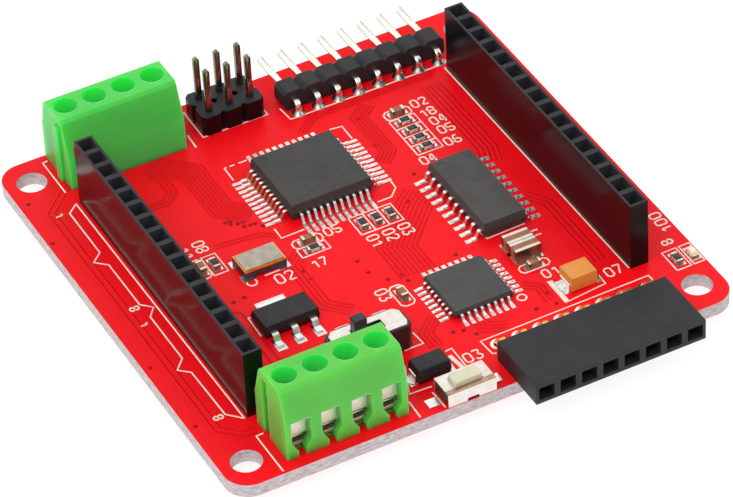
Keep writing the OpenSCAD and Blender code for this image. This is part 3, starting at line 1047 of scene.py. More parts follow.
class StrokePattern(Pattern):
    """Lays a flat-topped ribbon along the edges of a mesh, with round corners."""

    def sizes(self) -> None:
        """Adds the ribbon's width, height and corner radius."""
        for name in ("Width", "Height", "Corner"):
            self.socket(name, "NodeSocketFloat")

    def grow(self, start: bpy.types.Node) -> bpy.types.NodeSocket:
        """Turns the edges to curves, rounds them and sweeps a rectangle along them.

        Args:
            start: the tree's input node.

        Returns:
            The socket with the ribbon.
        """
        tree = self.tree
        line = add(
            tree, "GeometryNodeMeshToCurve", None, {"Mesh": start.outputs["Geometry"]}
        )
        bent = add(
            tree,
            "GeometryNodeFilletCurve",
            {"Count": 2, "Limit Radius": True},
            {"Curve": line.outputs[0], "Radius": start.outputs["Corner"]},
            mode="POLY",
        )
        level = add(
            tree, "GeometryNodeSetCurveNormal", None, {"Curve": bent.outputs[0]}, mode="Z_UP"
        )
        section = add(
            tree,
            "GeometryNodeCurvePrimitiveQuadrilateral",
            None,
            {"Width": start.outputs["Width"], "Height": start.outputs["Height"]},
        )
        swept = add(
            tree,
            "GeometryNodeCurveToMesh",
            {"Fill Caps": True},
            {"Curve": level.outputs[0], "Profile Curve": section.outputs[0]},
        )
        return swept.outputs[0]


class SpotPattern(Pattern):
    """Puts a copy of a small shape at each vertex of a mesh."""

    def sizes(self) -> None:
        """Adds the shape that is repeated and its size."""
        self.socket("Shape", "NodeSocketObject")
        self.socket("Size", "NodeSocketFloat")

    def grow(self, start: bpy.types.Node) -> bpy.types.NodeSocket:
        """Instances the shape on the points.

        Args:
            start: the tree's input node.

        Returns:
            The socket with the copies.
        """
        tree = self.tree
        shape = add(tree, "GeometryNodeObjectInfo", None, {"Object": start.outputs["Shape"]})
        laid = add(
            tree,
            "GeometryNodeInstanceOnPoints",
            None,
            {
                "Points": start.outputs["Geometry"],
                "Instance": shape.outputs["Geometry"],
                "Scale": start.outputs["Size"],
            },
        )
        return laid.outputs[0]


GRID = GridPattern("rows_of_pieces")
SIDES = SidesPattern("leads_round_a_package")
STROKES = StrokePattern("ribbon_along_lines")
SPOTS = SpotPattern("buttons_on_points")


def lines_seed(lines: Iterable[Sequence[Flat]], height: float) -> bpy.types.Object:
    """An object whose edges are the given polylines.

    Args:
        lines: the polylines, in mm.
        height: their height, in mm; lines that cross lie a hair above each other, so that
            their tops don't flicker.

    Returns:
        The object, with edges only.
    """
    mesh = bmesh.new()
    for i, line in enumerate(lines):
        lift = height + HAIR * (i % LEVELS)
        spots = [mesh.verts.new(Vector((x, y, lift)) * MM) for x, y in line]
        for first, second in zip(spots, spots[1:]):
            mesh.edges.new((first, second))
    return new_piece("seed", mesh, False)


def spots_seed(places: Iterable[Flat], height: float) -> bpy.types.Object:
    """An object with one loose vertex at each place.

    Args:
        places: where they stand, in mm.
        height: their height, in mm.

    Returns:
        The object, with vertices only.
    """
    mesh = bmesh.new()
    for x, y in places:
        mesh.verts.new(Vector((x, y, height)) * MM)
    return new_piece("seed", mesh, False)


def on_grid(
    name: str,
    one: bpy.types.Object,
    finish: Finish,
    columns: int,
    rows: int = 1,
    towards_front: bool = False,
) -> bpy.types.Object:
    """Repeats one pin or contact on the grid of the pin headers.

    Args:
        name: the new piece's name.
        one: the first pin or contact, at the left end, which is removed.
        finish: its finish.
        columns: how many stand along X.
        rows: how many stand along Y.
        towards_front: True lays the rows from the first towards the front edge.

    Returns:
        The new piece.
    """
    step = -PITCH if towards_front else PITCH
    return GRID.make(
        name, one, finish, Count_A=columns, Step_A=(PITCH * MM, 0, 0), Count_B=rows,
        Step_B=(0, step * MM, 0),
    )


def solder_places() -> list[Point]:
    """The x, y and radius of each solder joint, in mm."""
    return [
        ((low.x + high.x) / 2, (low.y + high.y) / 2, (high.x - low.x) / 2)
        for low, high in islands("solder_joints")
    ]


def lathe(
    name: str, profile: Sequence[Flat], centre: Flat = (0, 0), corners: int = 20
) -> bpy.types.Object:
    """Turns a profile of (radius, height) round an upright axis.

    Args:
        name: the object's name.
        profile: points from one end to the other; a closed ring repeats its first point.
        centre: where the axis stands, in mm.
        corners: pieces round the turn.

    Returns:
        The turned object.
    """
    mesh = bmesh.new()
    rings = []
    for radius, height in profile:
        ring = []
        for i in range(corners):
            a = math.tau * i / corners
            x, y = centre[0] + radius * math.cos(a), centre[1] + radius * math.sin(a)
            ring.append(mesh.verts.new(Vector((x, y, height)) * MM))
        rings.append(ring)
    for low, high in zip(rings, rings[1:]):
        for i in range(corners):
            j = (i + 1) % corners
            mesh.faces.new((low[i], low[j], high[j], high[i]))
    bmesh.ops.remove_doubles(mesh, verts=mesh.verts, dist=0.0005 * MM)
    bmesh.ops.recalc_face_normals(mesh, faces=mesh.faces)
    return new_piece(name, mesh, False)


# ---------------------------------------------------------------- plain numbers


# Strokes of each figure on a cell 4 wide and 6 high: pairs of x and y.
FIGURES = {
    "0": "10 01 05 16 36 45 41 30 10",
    "1": "14 36 30",
    "2": "05 16 36 45 44 00 40",
    "3": "06 46 23 33 42 41 30 10 01",
    "4": "30 36 26 02 42",
    "5": "46 06 03 33 42 41 30 10 01",
    "6": "36 16 03 01 10 30 41 42 33 13 02",
    "7": "06 46 10",
    "8": "13 04 05 16 36 45 44 33 13 02 01 10 30 41 42 33",
    "9": "43 13 04 05 16 36 45 42 30 10",
}


class Reading(Enum):
    """Which way a printed number reads, as the turn of its baseline from +X."""

    ACROSS = 0.0
    UP = 90.0
    DOWN = -90.0


@dataclass(frozen=True)
class Label:
    """A plain printed number."""

    text: str
    x: float
    y: float
    reading: Reading = Reading.ACROSS
    height: float = 1.3
    narrow: float = 0.85
    advance: float = 4.9

    def lines(self) -> list[list[Flat]]:
        """The number's strokes, in mm on the board."""
        turn = math.radians(self.reading.value)
        cell = self.height / 6
        out = []
        for i, figure in enumerate(self.text):
            line = []
            for pair in FIGURES[figure].split():
                u = (int(pair[0]) * self.narrow + i * self.advance) * cell
                v = int(pair[1]) * cell
                line.append(
                    (
                        self.x + u * math.cos(turn) - v * math.sin(turn),
                        self.y + u * math.sin(turn) + v * math.cos(turn),
                    )
                )
            out.append(line)
        return out


# ---------------------------------------------------------------- the bare board


def beside(route: Sequence[Flat], shift: float) -> list[Flat]:
    """A route moved sideways, with its bends kept parallel.

    Args:
        route: the route's points.
        shift: distance to the left of its direction.

    Returns:
        The moved route.
    """
    points = [Vector(p) for p in route]
    out = []
    for i, here in enumerate(points):
        legs = []
        if i > 0:
            legs.append((here - points[i - 1]).normalized())
        if i < len(points) - 1:
            legs.append((points[i + 1] - here).normalized())
        normals = [Vector((-leg.y, leg.x)) for leg in legs]
        side = sum(normals, Vector((0, 0))).normalized()
        moved = here + side * shift / max(0.4, side.dot(normals[0]))
        out.append((moved.x, moved.y))
    return out


@dataclass(frozen=True)
class Bundle:
    """Parallel copper tracks under the mask."""

    route: tuple[Flat, ...]
    count: int
    gap: float = 0.45

    def lines(self) -> list[list[Flat]]:
        """The tracks' centre lines, in mm."""
        middle_track = (self.count - 1) / 2
        return [beside(self.route, (i - middle_track) * self.gap) for i in range(self.count)]


@dataclass(frozen=True)
class Cells:
    """A printed frame with cells in a row, one round each small part."""

    low: Flat
    high: Flat
    count: int = 1
    upright: bool = False
    cut: float = 0.0

    def lines(self) -> list[list[Flat]]:
        """The frame and the lines between its cells, in mm."""
        (x0, y0), (x1, y1), c = self.low, self.high, self.cut
        frame_line = [
            (x0 + c, y0), (x1 - c, y0), (x1, y0 + c), (x1, y1 - c), (x1 - c, y1), (x0 + c, y1),
            (x0, y1 - c), (x0, y0 + c), (x0 + c, y0),
        ]
        if not c:
            frame_line = [(x0, y0), (x1, y0), (x1, y1), (x0, y1), (x0, y0)]
        out = [frame_line]
        for i in range(1, self.count):
            t = i / self.count
            if self.upright:
                out.append([(x0, y0 + (y1 - y0) * t), (x1, y0 + (y1 - y0) * t)])
            else:
                out.append([(x0 + (x1 - x0) * t, y0), (x0 + (x1 - x0) * t, y1)])
        return out


@dataclass
class Board:
    """The glass-epoxy board with its mask, tracks, vias, pads and printed legend."""

    hole_dx: float = 53.5
    hole_dy: float = 52.3
    corner_reach: float = 4.2
    edge_reach: float = 0.1
    track_width: float = 0.26
    track_height: float = 0.03
    track_bend: float = 0.3
    ink_width: float = 0.19
    ink_height: float = 0.05
    ink_lift: float = 0.004
    number_width: float = 0.2
    number_bend: float = 0.12
    bar_width: float = 0.5
    ring_bore: float = 0.5
    ring_radius: float = 0.86
    wide_ring_radius: float = 1.25

    def build(self) -> None:
        """Builds the board's core and everything etched, plated or printed on it."""
        self.core()
        self.tracks()
        self.vias()
        self.plated_rings()
        self.legend()

    def core(self) -> None:
        """Copies the board and gives mask, routed edge and plated holes their finishes."""
        mesh = bmesh.new()
        mesh.from_mesh(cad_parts["circuit_board"].data)
        bmesh.ops.remove_doubles(mesh, verts=mesh.verts, dist=0.001 * MM)
        piece = new_piece("board_laminate", mesh, False)
        for face in piece.data.polygons:
            face.use_smooth = abs(face.normal.z) < 0.5
        dress(piece, (MASK, LAMINATE_EDGE, TIN), self.surface)
        settle(piece, MASK, BOARD, "circuit_board")

    def surface(self, face: bpy.types.MeshPolygon) -> int:
        """Tells the board's flat sides from what was routed and what was plated.

        Args:
            face: a face of the board.

        Returns:
            0 for the masked sides, 1 for the routed edge and mounting holes, 2 for a plated hole.
        """
        if abs(face.normal.z) > 0.5:
            return 0
        spot = face.center
        corner = math.hypot(
            abs(spot.x) / MM - self.hole_dx / 2, abs(spot.y) / MM - self.hole_dy / 2
        )
        routed = corner < self.corner_reach or inset("circuit_board", spot) < self.edge_reach
        return 1 if routed else 2

    def tracks(self) -> None:
        """Lays the mask-covered tracks, on the populated side and on the underside."""
        driver = middle("led_driver_body")
        source = middle("source_driver_body")
        micro = middle("microcontroller_body")
        left, right = middle("left_socket_housing")[0], middle("right_socket_housing")[0]
        bundles = [
            # from the lamp driver's left pads, up between the terminal and the header
            Bundle(((driver[0] - 8.2, 8.6), (-10.9, 11.2), (-10.9, 18.6), (-14.6, 22.2)), 8, 0.42),
            # hooks beside it that end at the left socket
            Bundle(
                ((-15.2, 20.4), (-14.2, 19.2), (-14.2, 16.6), (-15.4, 15.4), (left + 2, 15.4)),
                3, 0.5,
            ),
            # between the source driver and the microcontroller
            Bundle(((source[0] - 4.6, 2.4), (7.6, 1.3), (2.4, -4.2), (2.4, -9.2)), 9, 0.5),
            # from the source driver's right pads to the right socket
            Bundle(((source[0] + 4.6, 3.4), (right - 4.2, 5.6), (right - 4.2, 18.6)), 5, 0.55),
            Bundle(((source[0] + 4.6, -3.6), (right - 3.2, -6.2), (right - 3.2, -17.4)), 3, 0.6),
            # from the lamp driver's back pads towards the edge header
            Bundle(((2.6, driver[1] + 8.2), (5.2, 20.4), (20.2, 20.4)), 3, 0.42),
            Bundle(((driver[0] + 8.2, 9.2), (9.4, 10.8), (9.4, 17.6), (11.2, 19.2)), 5, 0.42),
            # from the lamp driver's front pads down the middle
            Bundle(((-4.8, driver[1] - 8.1), (-8.6, -1.2), (-8.6, -8.6), (-6.4, -11)), 4, 0.5),
            Bundle(((-14.4, 5.9), (-9.2, 5.2), (-7.8, 4.2)), 2, 0.5),
            # round the microcontroller
            Bundle(((micro[0] - 5.2, -16.4), (-1.6, -18.2), (-1.6, -20.6)), 4, 0.45),
            Bundle(((4.2, micro[1] - 5.1), (4.2, -20.6), (6.4, -21.6)), 4, 0.5),
            Bundle(((micro[0] + 5.2, -16.6), (12.2, -17.8), (12.2, -20.4)), 3, 0.5),
            # down the left edge and across the front
            Bundle(((-20.6, 24.4), (-24.2, 23.2), (-27.2, 20.2), (-27.2, -20.4)), 2, 0.7),
            Bundle(((-27.2, -20.4), (-25.4, -22.4), (-23.8, -22.4)), 2, 0.7),
            Bundle(((-18.6, -4.2), (-17.2, -5.6), (-17.2, -14.2), (-12.6, -16.2)), 2, 0.9),
        ]
        lines = [line for bundle in bundles for line in bundle.lines()]
        under = [
            Bundle(((left + 2.5, -12), (-14, -5.5), (-14, 8), (-6, 16), (14, 16)), 9, 0.7),
            Bundle(((-12, -16), (-8, -12), (-8, 3), (-1.5, 9.5), (16, 9.5), (20, 13.5)), 8, 0.7),
            Bundle(((-6, -19), (3, -10), (3, -1.5), (7.5, 3), (17, 3), (right - 2.5, 7)), 6, 0.8),
        ]
        below = [line for bundle in under for line in bundle.lines()]
        for name, paths, height in (
            ("tracks_populated_side", lines, TOP),
            ("tracks_underside", below, 0.0),
        ):
            piece = STROKES.make(
                name, lines_seed(paths, height), MASK_ON_COPPER,
                Width=self.track_width * MM, Height=self.track_height * MM,
                Corner=self.track_bend * MM,
            )
            settle(piece, MASK_ON_COPPER, BOARD)

    def vias(self) -> None:
        """Puts the tented vias on both sides."""
        places = [
            (-0.9, -8.5), (0.8, -8.55), (0.85, -9.75), (7.25, -8.6), (0.9, -19.55), (2, -19.85),
            (2.9, -21.05), (10.25, -20.8), (12.5, -21.1), (12.55, -19.15), (-8.05, -2.65),
            (-7.85, -4.15), (-2.3, -4.15), (-2.15, -6.4), (7.05, 1.9), (9.9, 5.7), (8.55, 12.35),
            (9.25, 17.4), (-10.1, 7.3), (-11.2, 8.4), (-15.4, -3.2), (-16.75, -3.3),
            (-28.9, -18.8), (-28.95, -8.2), (-28.65, 22.9), (-29.2, 15.5),
        ]
        places += [(-11.6 + 0.55 * i, 8.9 - 0.42 * i + 0.35 * (i % 2)) for i in range(7)]
        profile = [(0, 0.006), (0.1, 0.006), (0.2, 0.035), (0.27, 0), (0, -0.02)]
        for name, height, way in (("vias_top", TOP, 1), ("vias_underside", 0.0, -1)):
            crater = lathe("crater", [(r, z * way) for r, z in profile], corners=12)
            piece = SPOTS.make(name, spots_seed(places, height), VIA, Shape=crater, Size=1.0)
            settle(piece, VIA, BOARD)

    def plated_rings(self) -> None:
        """Puts the tinned ring round each plated hole, on both sides."""
        holes = solder_places()
        bore, edge = self.ring_bore, self.ring_radius
        ring = [(bore, -0.01), (edge, -0.01), (edge - 0.02, 0.03), (bore, 0.03), (bore, -0.01)]
        for name, height, way in (("hole_rings_top", TOP, 1), ("hole_rings_underside", 0.0, -1)):
            for tag, wide, radius in (("", False, edge), ("_wide", True, self.wide_ring_radius)):
                places = [(x, y) for x, y, reach in holes if (reach > 1) == wide]
                shape = lathe("ring", [(r, z * way) for r, z in ring])
                seed = spots_seed(places, height)
                piece = SPOTS.make(name + tag, seed, TIN, Shape=shape, Size=radius / edge)
                settle(piece, TIN, BOARD)

    def legend(self) -> None:
        """Prints the outlines, frames and plain numbers."""
        self.print_ink("legend_outlines", self.outlines(), self.ink_width)
        self.print_ink("legend_numbers", self.numbers(), self.number_width, self.number_bend)
        bars = [[(-1.2, -22.6), (-0.9, -25.1)], [(13.75, -17.6), (13.65, -21.4)]]
        self.print_ink("legend_bars", bars, self.bar_width)

    def print_ink(
        self, name: str, lines: list[Sequence[Flat]], width: float, bend: float = 0.0
    ) -> None:
        """Prints lines of ink on the populated side.

        Args:
            name: the piece's name.
            lines: centre lines, in mm.
            width: the line's width, in mm.
            bend: radius at its corners, in mm.
        """
        piece = STROKES.make(
            name, lines_seed(lines, TOP + self.ink_lift), INK,
            Width=width * MM, Height=self.ink_height * MM, Corner=bend * MM,
        )
        settle(piece, INK, BOARD)

    def outlines(self) -> list[Sequence[Flat]]:
        """Printed outlines of the parts, in mm."""
        low, high = node_box("left_socket_housing")
        side, back = low.x / MM - 0.25, high.y / MM - 0.05
        out: list[Sequence[Flat]] = [
            [(side - 0.2, back), (side - 0.05, -back)],
            [
                (side - 0.2, back), (side - 1.5, 19.15), (side - 1.5, 11.45), (side - 2.8, 10.3),
                (side - 1.55, 9.1), (side - 1.55, 1.5), (side - 0.45, 0.35), (side - 1.45, -0.9),
                (side - 1.45, -8.6), (side - 2.75, -10), (side - 1.6, -11.05), (side - 1.5, -18.7),
                (side - 0.05, -back),
            ],
            [(21.9, 20.6), (21.95, -20), (23.5, -19.95)],
            [(-23.7, 28.7), (-24.3, 28.6), (-24.3, 22.6)],
            [(-8.4, 24.7), (-8.5, 22.3)],
            [(-6.95, 28.6), (-7.05, 23.45), (0.95, 23.4), (0.95, 24.7)],
            [(-23.4, -23.3), (-24.2, -23.35), (-24.2, -29.45)],
            [(-8.25, -26.7), (-8.35, -29.45)],
            [(2.6, 23.6), (2.75, 21.25), (22.25, 21.25)],
            [(3.2, -24.8), (2.8, -24.6), (2.65, -22.3), (23.1, -22.2), (23.15, -23)],
            [(-7.55, 15), (-7.5, 17.35), (-7.2, 17.35)],
            [(-6.85, 17.35), (-6.25, 17.35)],
            [(-5.75, 17.35), (-4.75, 17.35)],
            [(-7.5, 5.2), (-7.55, 3.45), (-4.75, 3.5)],
            [(5.6, 17.4), (7.05, 17.2), (7, 14.7)],
            [(7.15, 6.1), (7.1, 4.7), (5.95, 3.5), (4.25, 3.5)],
            [(11.3, -6.8), (11.45, -8.05), (16.1, -7.9)],
            [(2.65, -10.05), (8.8, -10.15)],
            [(-15.8, -6.55), (-16.6, -6.45), (-16.7, -9.75)],
            [(13.45, -17.55), (13.4, -21.5), (18.55, -21), (18.6, -19.45)],
            [(-6, -21.65), (-7.65, -25.75), (-5.1, -25.85)],
            [(-1.25, -21.8), (-0.45, -21.7), (-0.5, -25.2)],
            [(-2.75, -17.4), (-2.6, -19.5), (-4.85, -19.45)],
            [(-5.45, -26.7), (-5.4, -29.4)],
            [(-9.3, -1.1), (-11.9, -1.15)],
            [(15.6, -9.45), (16.8, -9.45)],
            [(15.6, -10.3), (16.8, -10.3)],
        ]
        for x, y, r in ((-6.6, 14, 0.5), (9.85, -18.4, 0.5), (-13.6, -1.45, 0.55)):
            ring = [
                (x + r * math.cos(math.tau * i / 16), y + r * math.sin(math.tau * i / 16))
                for i in range(17)
            ]
            out.append(ring)
        for cells in (
            Cells((11.85, 8.3), (15, 15.1), 4, True),
            Cells((11.85, 15.2), (15, 16.8), cut=0.4),
            Cells((0.15, -0.55), (5.3, 2.6), 3),
            Cells((-16.55, 1.6), (-14.85, 4.95)),
            Cells((-18.2, 1.6), (-16.65, 4.95), cut=0.4),
            Cells((-7.1, -0.7), (-3.7, 0.8)),
            Cells((-7.1, 0.85), (-3.6, 2.3), cut=0.4),
            Cells((-1.7, -13.35), (-0.05, -9.8), cut=0.4),
            Cells((11.8, -15.15), (15.3, -13.9), cut=0.35),
            Cells((26.15, -23.1), (27.9, -19.8)),
            Cells((28.25, -23.1), (29.55, -19.8)),
        ):
            out += cells.lines()
        return out

    def numbers(self) -> list[Sequence[Flat]]:
        """Plain numbers printed beside the parts, in mm."""
        down, small = Reading.DOWN, 1.0
        labels = [
            Label("02", 15.5, 15.9), Label("18", 15.5, 13.9), Label("04", 15.9, 12.1),
            Label("05", 15.9, 10.3), Label("06", 15.5, 8.1), Label("01", 0.3, -1.2, down),
            Label("02", 2.2, -1.2, down), Label("03", 4.1, -1.2, down),
            Label("05", -3.1, 1.2), Label("17", -6.8, -2.9), Label("04", 11.6, 6.5),
            Label("03", -0.1, -24.6, height=1.4), Label("07", 19.4, -20.3, height=1.4),
            Label("01", 13.6, -17.0), Label("02", -11.2, -3.2, height=1.5),
            Label("08", -16.4, 7.6, down), Label("11", -18.2, 7.4, down),
            Label("03", -3.2, -9.6, down),
            Label("100", 29.35, -17.0, Reading.UP, 1.25, narrow=1.0, advance=6.0),
            Label("1", -27, 19.7, down, small), Label("8", -26.75, 1.45, down, small),
            Label("1", -26.9, -1.35, down, small), Label("8", -26.75, -18.5, down, small),
            Label("16", 24.6, 19.6, down), Label("8", 27.0, -18.2, down, 1.2),
        ]
        return [line for label in labels for line in label.lines()]


# ---------------------------------------------------------------- connectors


@dataclass
class MatrixSocket:
    """One sixteen-way strip that the lamp matrix plugs into."""

    side: str
    finish: Finish
    ways: int = 16
    edge: float = 0.07
    wall: float = 0.2
    floor: float = 1.0
    leaf_width: float = 1.0
    leaf_thick: float = 0.2
    tail_width: float = 0.64
    tail_thick: float = 0.4

    def build(self) -> None:
        """Builds the moulded strip and its spring contacts."""
        housing = f"{self.side}_socket_housing"
        moulding = copied(f"{self.side}_socket_strip", housing, self.edge)
        dress(moulding, (self.finish, TEXTURED_POLYESTER, CELL_POLYESTER), self.surface)
        settle(moulding, self.finish, BOARD, housing)
        self.springs()

    def surface(self, face: bpy.types.MeshPolygon) -> int:
        """Tells the strip's sides from its top and the insides of its cells.

        Args:
            face: a face of the strip.

        Returns:
            0 for the sides and the underside, 1 for the top, 2 for the inside of a cell.
        """
        housing, spot = f"{self.side}_socket_housing", face.center
        deep = (node_box(housing)[1].z - spot.z) / MM
        if min(inset(housing, spot), deep) > self.wall and face.normal.z > -0.5:
            return 2
        return int(faces_up(face))

    def springs(self) -> None:
        """Repeats one contact of two sprung leaves down the strip."""
        node = f"{self.side}_socket_contacts"
        low, high = node_box(node)
        x, tip, tail = (low.x + high.x) / 2 / MM, high.z / MM, low.z / MM
        first = high.y / MM - self.leaf_width / 2
        floor = TOP + self.floor
        mesh = bmesh.new()
        for way in (-1, 1):
            leaf = [
                (floor, 0.0), (floor, 0.55 * way), (floor + 2, 0.55 * way), (tip - 1, 0.22 * way),
                (tip - 0.45, 0.3 * way), (tip, 0.5 * way),
            ]
            strip(
                mesh, rounded(leaf, 0.3, 3), self.leaf_width, self.leaf_thick,
                shifted(x, first, 0) @ UPRIGHT,
            )
        strip(
            mesh, [(tail, 0), (floor, 0)], self.tail_width, self.tail_thick,
            shifted(x, first, 0) @ UPRIGHT, heel=0.6,
        )
        piece = on_grid(
            f"{self.side}_socket_springs", new_piece("seed", mesh, False), CONTACT_METAL,
            columns=1, rows=self.ways, towards_front=True,
        )
        settle(piece, CONTACT_METAL, BOARD, node)


class End(Enum):
    """The two ends of the board that hold a screw terminal."""

    REAR = "rear"
    FRONT = "front"


@dataclass
class ScrewTerminal:
    """A four-way terminal of rising clamps in a green moulded block.

    Its wall towards the middle of the board can take a finish of its own, and its screw wells are
    paler than the rest; that paler green is painted light that lifts the shade there.
    """

    end: End
    finish: Finish
    # Finish of the wall towards the board's middle; on the rear block it is painted light.
    wall: Finish
    ways: int = 4
    edge: float = 0.14
    well: float = 1.38
    bar_edge: float = 0.04
    screw_edge: float = 0.08
    clamp_edge: float = 0.09

    def build(self) -> None:
        """Builds the block, its tails, and each way's screw and clamp."""
        side = self.end.value
        housing, tails = f"{side}_terminal_housing", f"{side}_terminal_tails"
        moulding = copied(f"{side}_terminal_block", housing, self.edge, 3, 14)
        # The third finish is painted light inside the screw wells.
        dress(moulding, (self.finish, self.wall, TERMINAL_PLASTIC_PAINTED_LIGHT), self.surface)
        settle(moulding, self.finish, BOARD, housing)
        settle(copied(f"{side}_terminal_bars", tails, self.bar_edge), TIN, BOARD, tails)
        for i in range(1, self.ways + 1):
            screw, clamp = f"{side}_screw_{i}", f"{side}_clamp_{i}"
            head = copied(f"{side}_slotted_screw_{i}", screw, self.screw_edge, 3)
            settle(head, SCREW_STEEL, screw, screw)
            cage = copied(f"{side}_lift_clamp_{i}", clamp, self.clamp_edge)
            settle(cage, CLAMP_METAL, clamp, clamp)

    def surface(self, face: bpy.types.MeshPolygon) -> int:
        """Tells the block's screw wells and its inner wall from the rest.

        Args:
            face: a face of the block.

        Returns:
            0 for most of the block, 1 for the wall towards the board's middle, 2 for a well.
        """
        screws = [f"{self.end.value}_screw_{i}" for i in range(1, self.ways + 1)]
        near = min((face.center.xy / MM - Vector(middle(screw))).length for screw in screws)
        # Faces inside the wells get the painted light.
        if face.normal.z < 0.9 and near < self.well:
            return 2
        towards_middle = -1 if self.end is End.REAR else 1
        return int(face.normal.y * towards_middle > 0.99)


@dataclass
class ProgrammingHeader:
    """Two rows of three upright pins."""

    pin: float = 0.64
    point: float = 0.35
    edge: float = 0.08

    def build(self) -> None:
        """Builds the plastic and repeats one pin."""
        housing, pins = "programming_header_housing", "programming_header_pins"
        moulding = copied("programming_header_block", housing, self.edge)
        dress(moulding, (WORN_POLYESTER, TEXTURED_POLYESTER), faces_up)
        settle(moulding, WORN_POLYESTER, BOARD, housing)
        low, high = node_box(pins)
        x, y = low.x / MM + self.pin / 2, low.y / MM + self.pin / 2
        path = [
            (low.z / MM, 0), (low.z / MM + 0.25, 0), (high.z / MM - self.point, 0),
            (high.z / MM, 0),
        ]
        mesh = bmesh.new()
        strip(mesh, path, self.pin, self.pin, shifted(x, y, 0) @ UPRIGHT, PIN_FOOT, PIN_TIP)
        ease(mesh, PIN_EDGE, 1, 60)
        seed = new_piece("seed", mesh, False)
        # The pins' darker, warmer colour is a painted reflection.
        piece = on_grid("programming_pins", seed, PIN_METAL_PAINTED_REFLECTION, columns=3, rows=2)
        settle(piece, PIN_METAL_PAINTED_REFLECTION, BOARD, pins)


@dataclass
class EdgeHeader:
    """Eight bent pins that stand out over the board's back edge."""

    ways: int = 8
    pin: float = 0.64
    point: float = 0.35
    bend: float = 0.55
    edge: float = 0.08

    def build(self) -> None:
        """Builds the plastic, repeats one bent pin and beads solder round each."""
        housing, pins = "edge_header_housing", "edge_header_pins"
        moulding = copied("edge_header_block", housing, self.edge)
        settle(moulding, TEXTURED_POLYESTER, BOARD, housing)
        low, high = node_box(pins)
        x, y = low.x / MM + self.pin / 2, low.y / MM + self.pin / 2
        level = high.z / MM - self.pin / 2
        path = [
            (y, low.z / MM), (y, low.z / MM + 0.25), (y, level),
            (high.y / MM - self.point, level), (high.y / MM, level),
        ]
        mesh = bmesh.new()
        strip(
            mesh, rounded(path, self.bend, 5), self.pin, self.pin, shifted(x, 0, 0) @ ALONG_Y,
            PIN_FOOT, PIN_TIP,
        )
        ease(mesh, PIN_EDGE, 1, 60)
        seed = new_piece("seed", mesh, False)
        piece = on_grid("edge_header_bent_pins", seed, PIN_METAL, columns=self.ways)
        settle(piece, PIN_METAL, BOARD, pins)
        profile = [(0, 0), (0.82, 0), (0.72, 0.12), (0.52, 0.3), (0.36, 0.55), (0, 0.55)]
        bead = lathe("seed", [(radius, TOP + up) for radius, up in profile], (x, y), 16)
        beads = on_grid("edge_header_solder", bead, DULL_SOLDER, columns=self.ways)
        settle(beads, DULL_SOLDER, BOARD)


@dataclass
class EdgeSocket:
    """Eight sprung contacts in a flat block on the board's front edge."""

    ways: int = 8
    edge: float = 0.07
    back_wall: float = 1.2
    half_mouth: float = 0.65
    leaf_width: float = 1.0
    leaf_thick: float = 0.2
    tail_width: float = 0.64
    tail_deep: float = 0.6
    tail_bend: float = 0.9

    def build(self) -> None:
        """Builds the block and repeats one contact with its bent tail."""
        housing, contacts = "edge_socket_housing", "edge_socket_contacts"
        moulding = copied("edge_socket_block", housing, self.edge)
        settle(moulding, TEXTURED_POLYESTER, BOARD, housing)
        low, high = node_box(contacts)
        mouth, tail_y = low.y / MM, high.y / MM - self.tail_deep / 2
        x = low.x / MM + self.half_mouth
        house_low, house_high = node_box(housing)
        level = (house_low.z + house_high.z) / 2 / MM
        back = house_high.y / MM - self.back_wall
        mesh = bmesh.new()
        for way in (-1, 1):
            leaf = [
                (back, 0.0), (back, 0.53 * way), (back - 2, 0.53 * way),
                (mouth + 1.1, 0.24 * way), (mouth + 0.5, 0.3 * way), (mouth, 0.5 * way),
            ]
            strip(
                mesh, rounded(leaf, 0.3, 3), self.leaf_width, self.leaf_thick,
                shifted(x, 0, level) @ FLAT_ALONG_Y,
            )
        tail = [
            (back - 0.1, level), (tail_y - 0.9, level), (tail_y, level - 0.95),
            (tail_y, low.z / MM + 0.25), (tail_y, low.z / MM),
        ]
        strip(
            mesh, rounded(tail, self.tail_bend, 6), self.tail_width, self.tail_deep,
            shifted(x, 0, 0) @ ALONG_Y, tip=0.6,
        )
        seed = new_piece("seed", mesh, False)
        piece = on_grid("edge_socket_springs", seed, CONTACT_METAL, columns=self.ways)
        settle(piece, CONTACT_METAL, BOARD, contacts)


# ---------------------------------------------------------------- chips


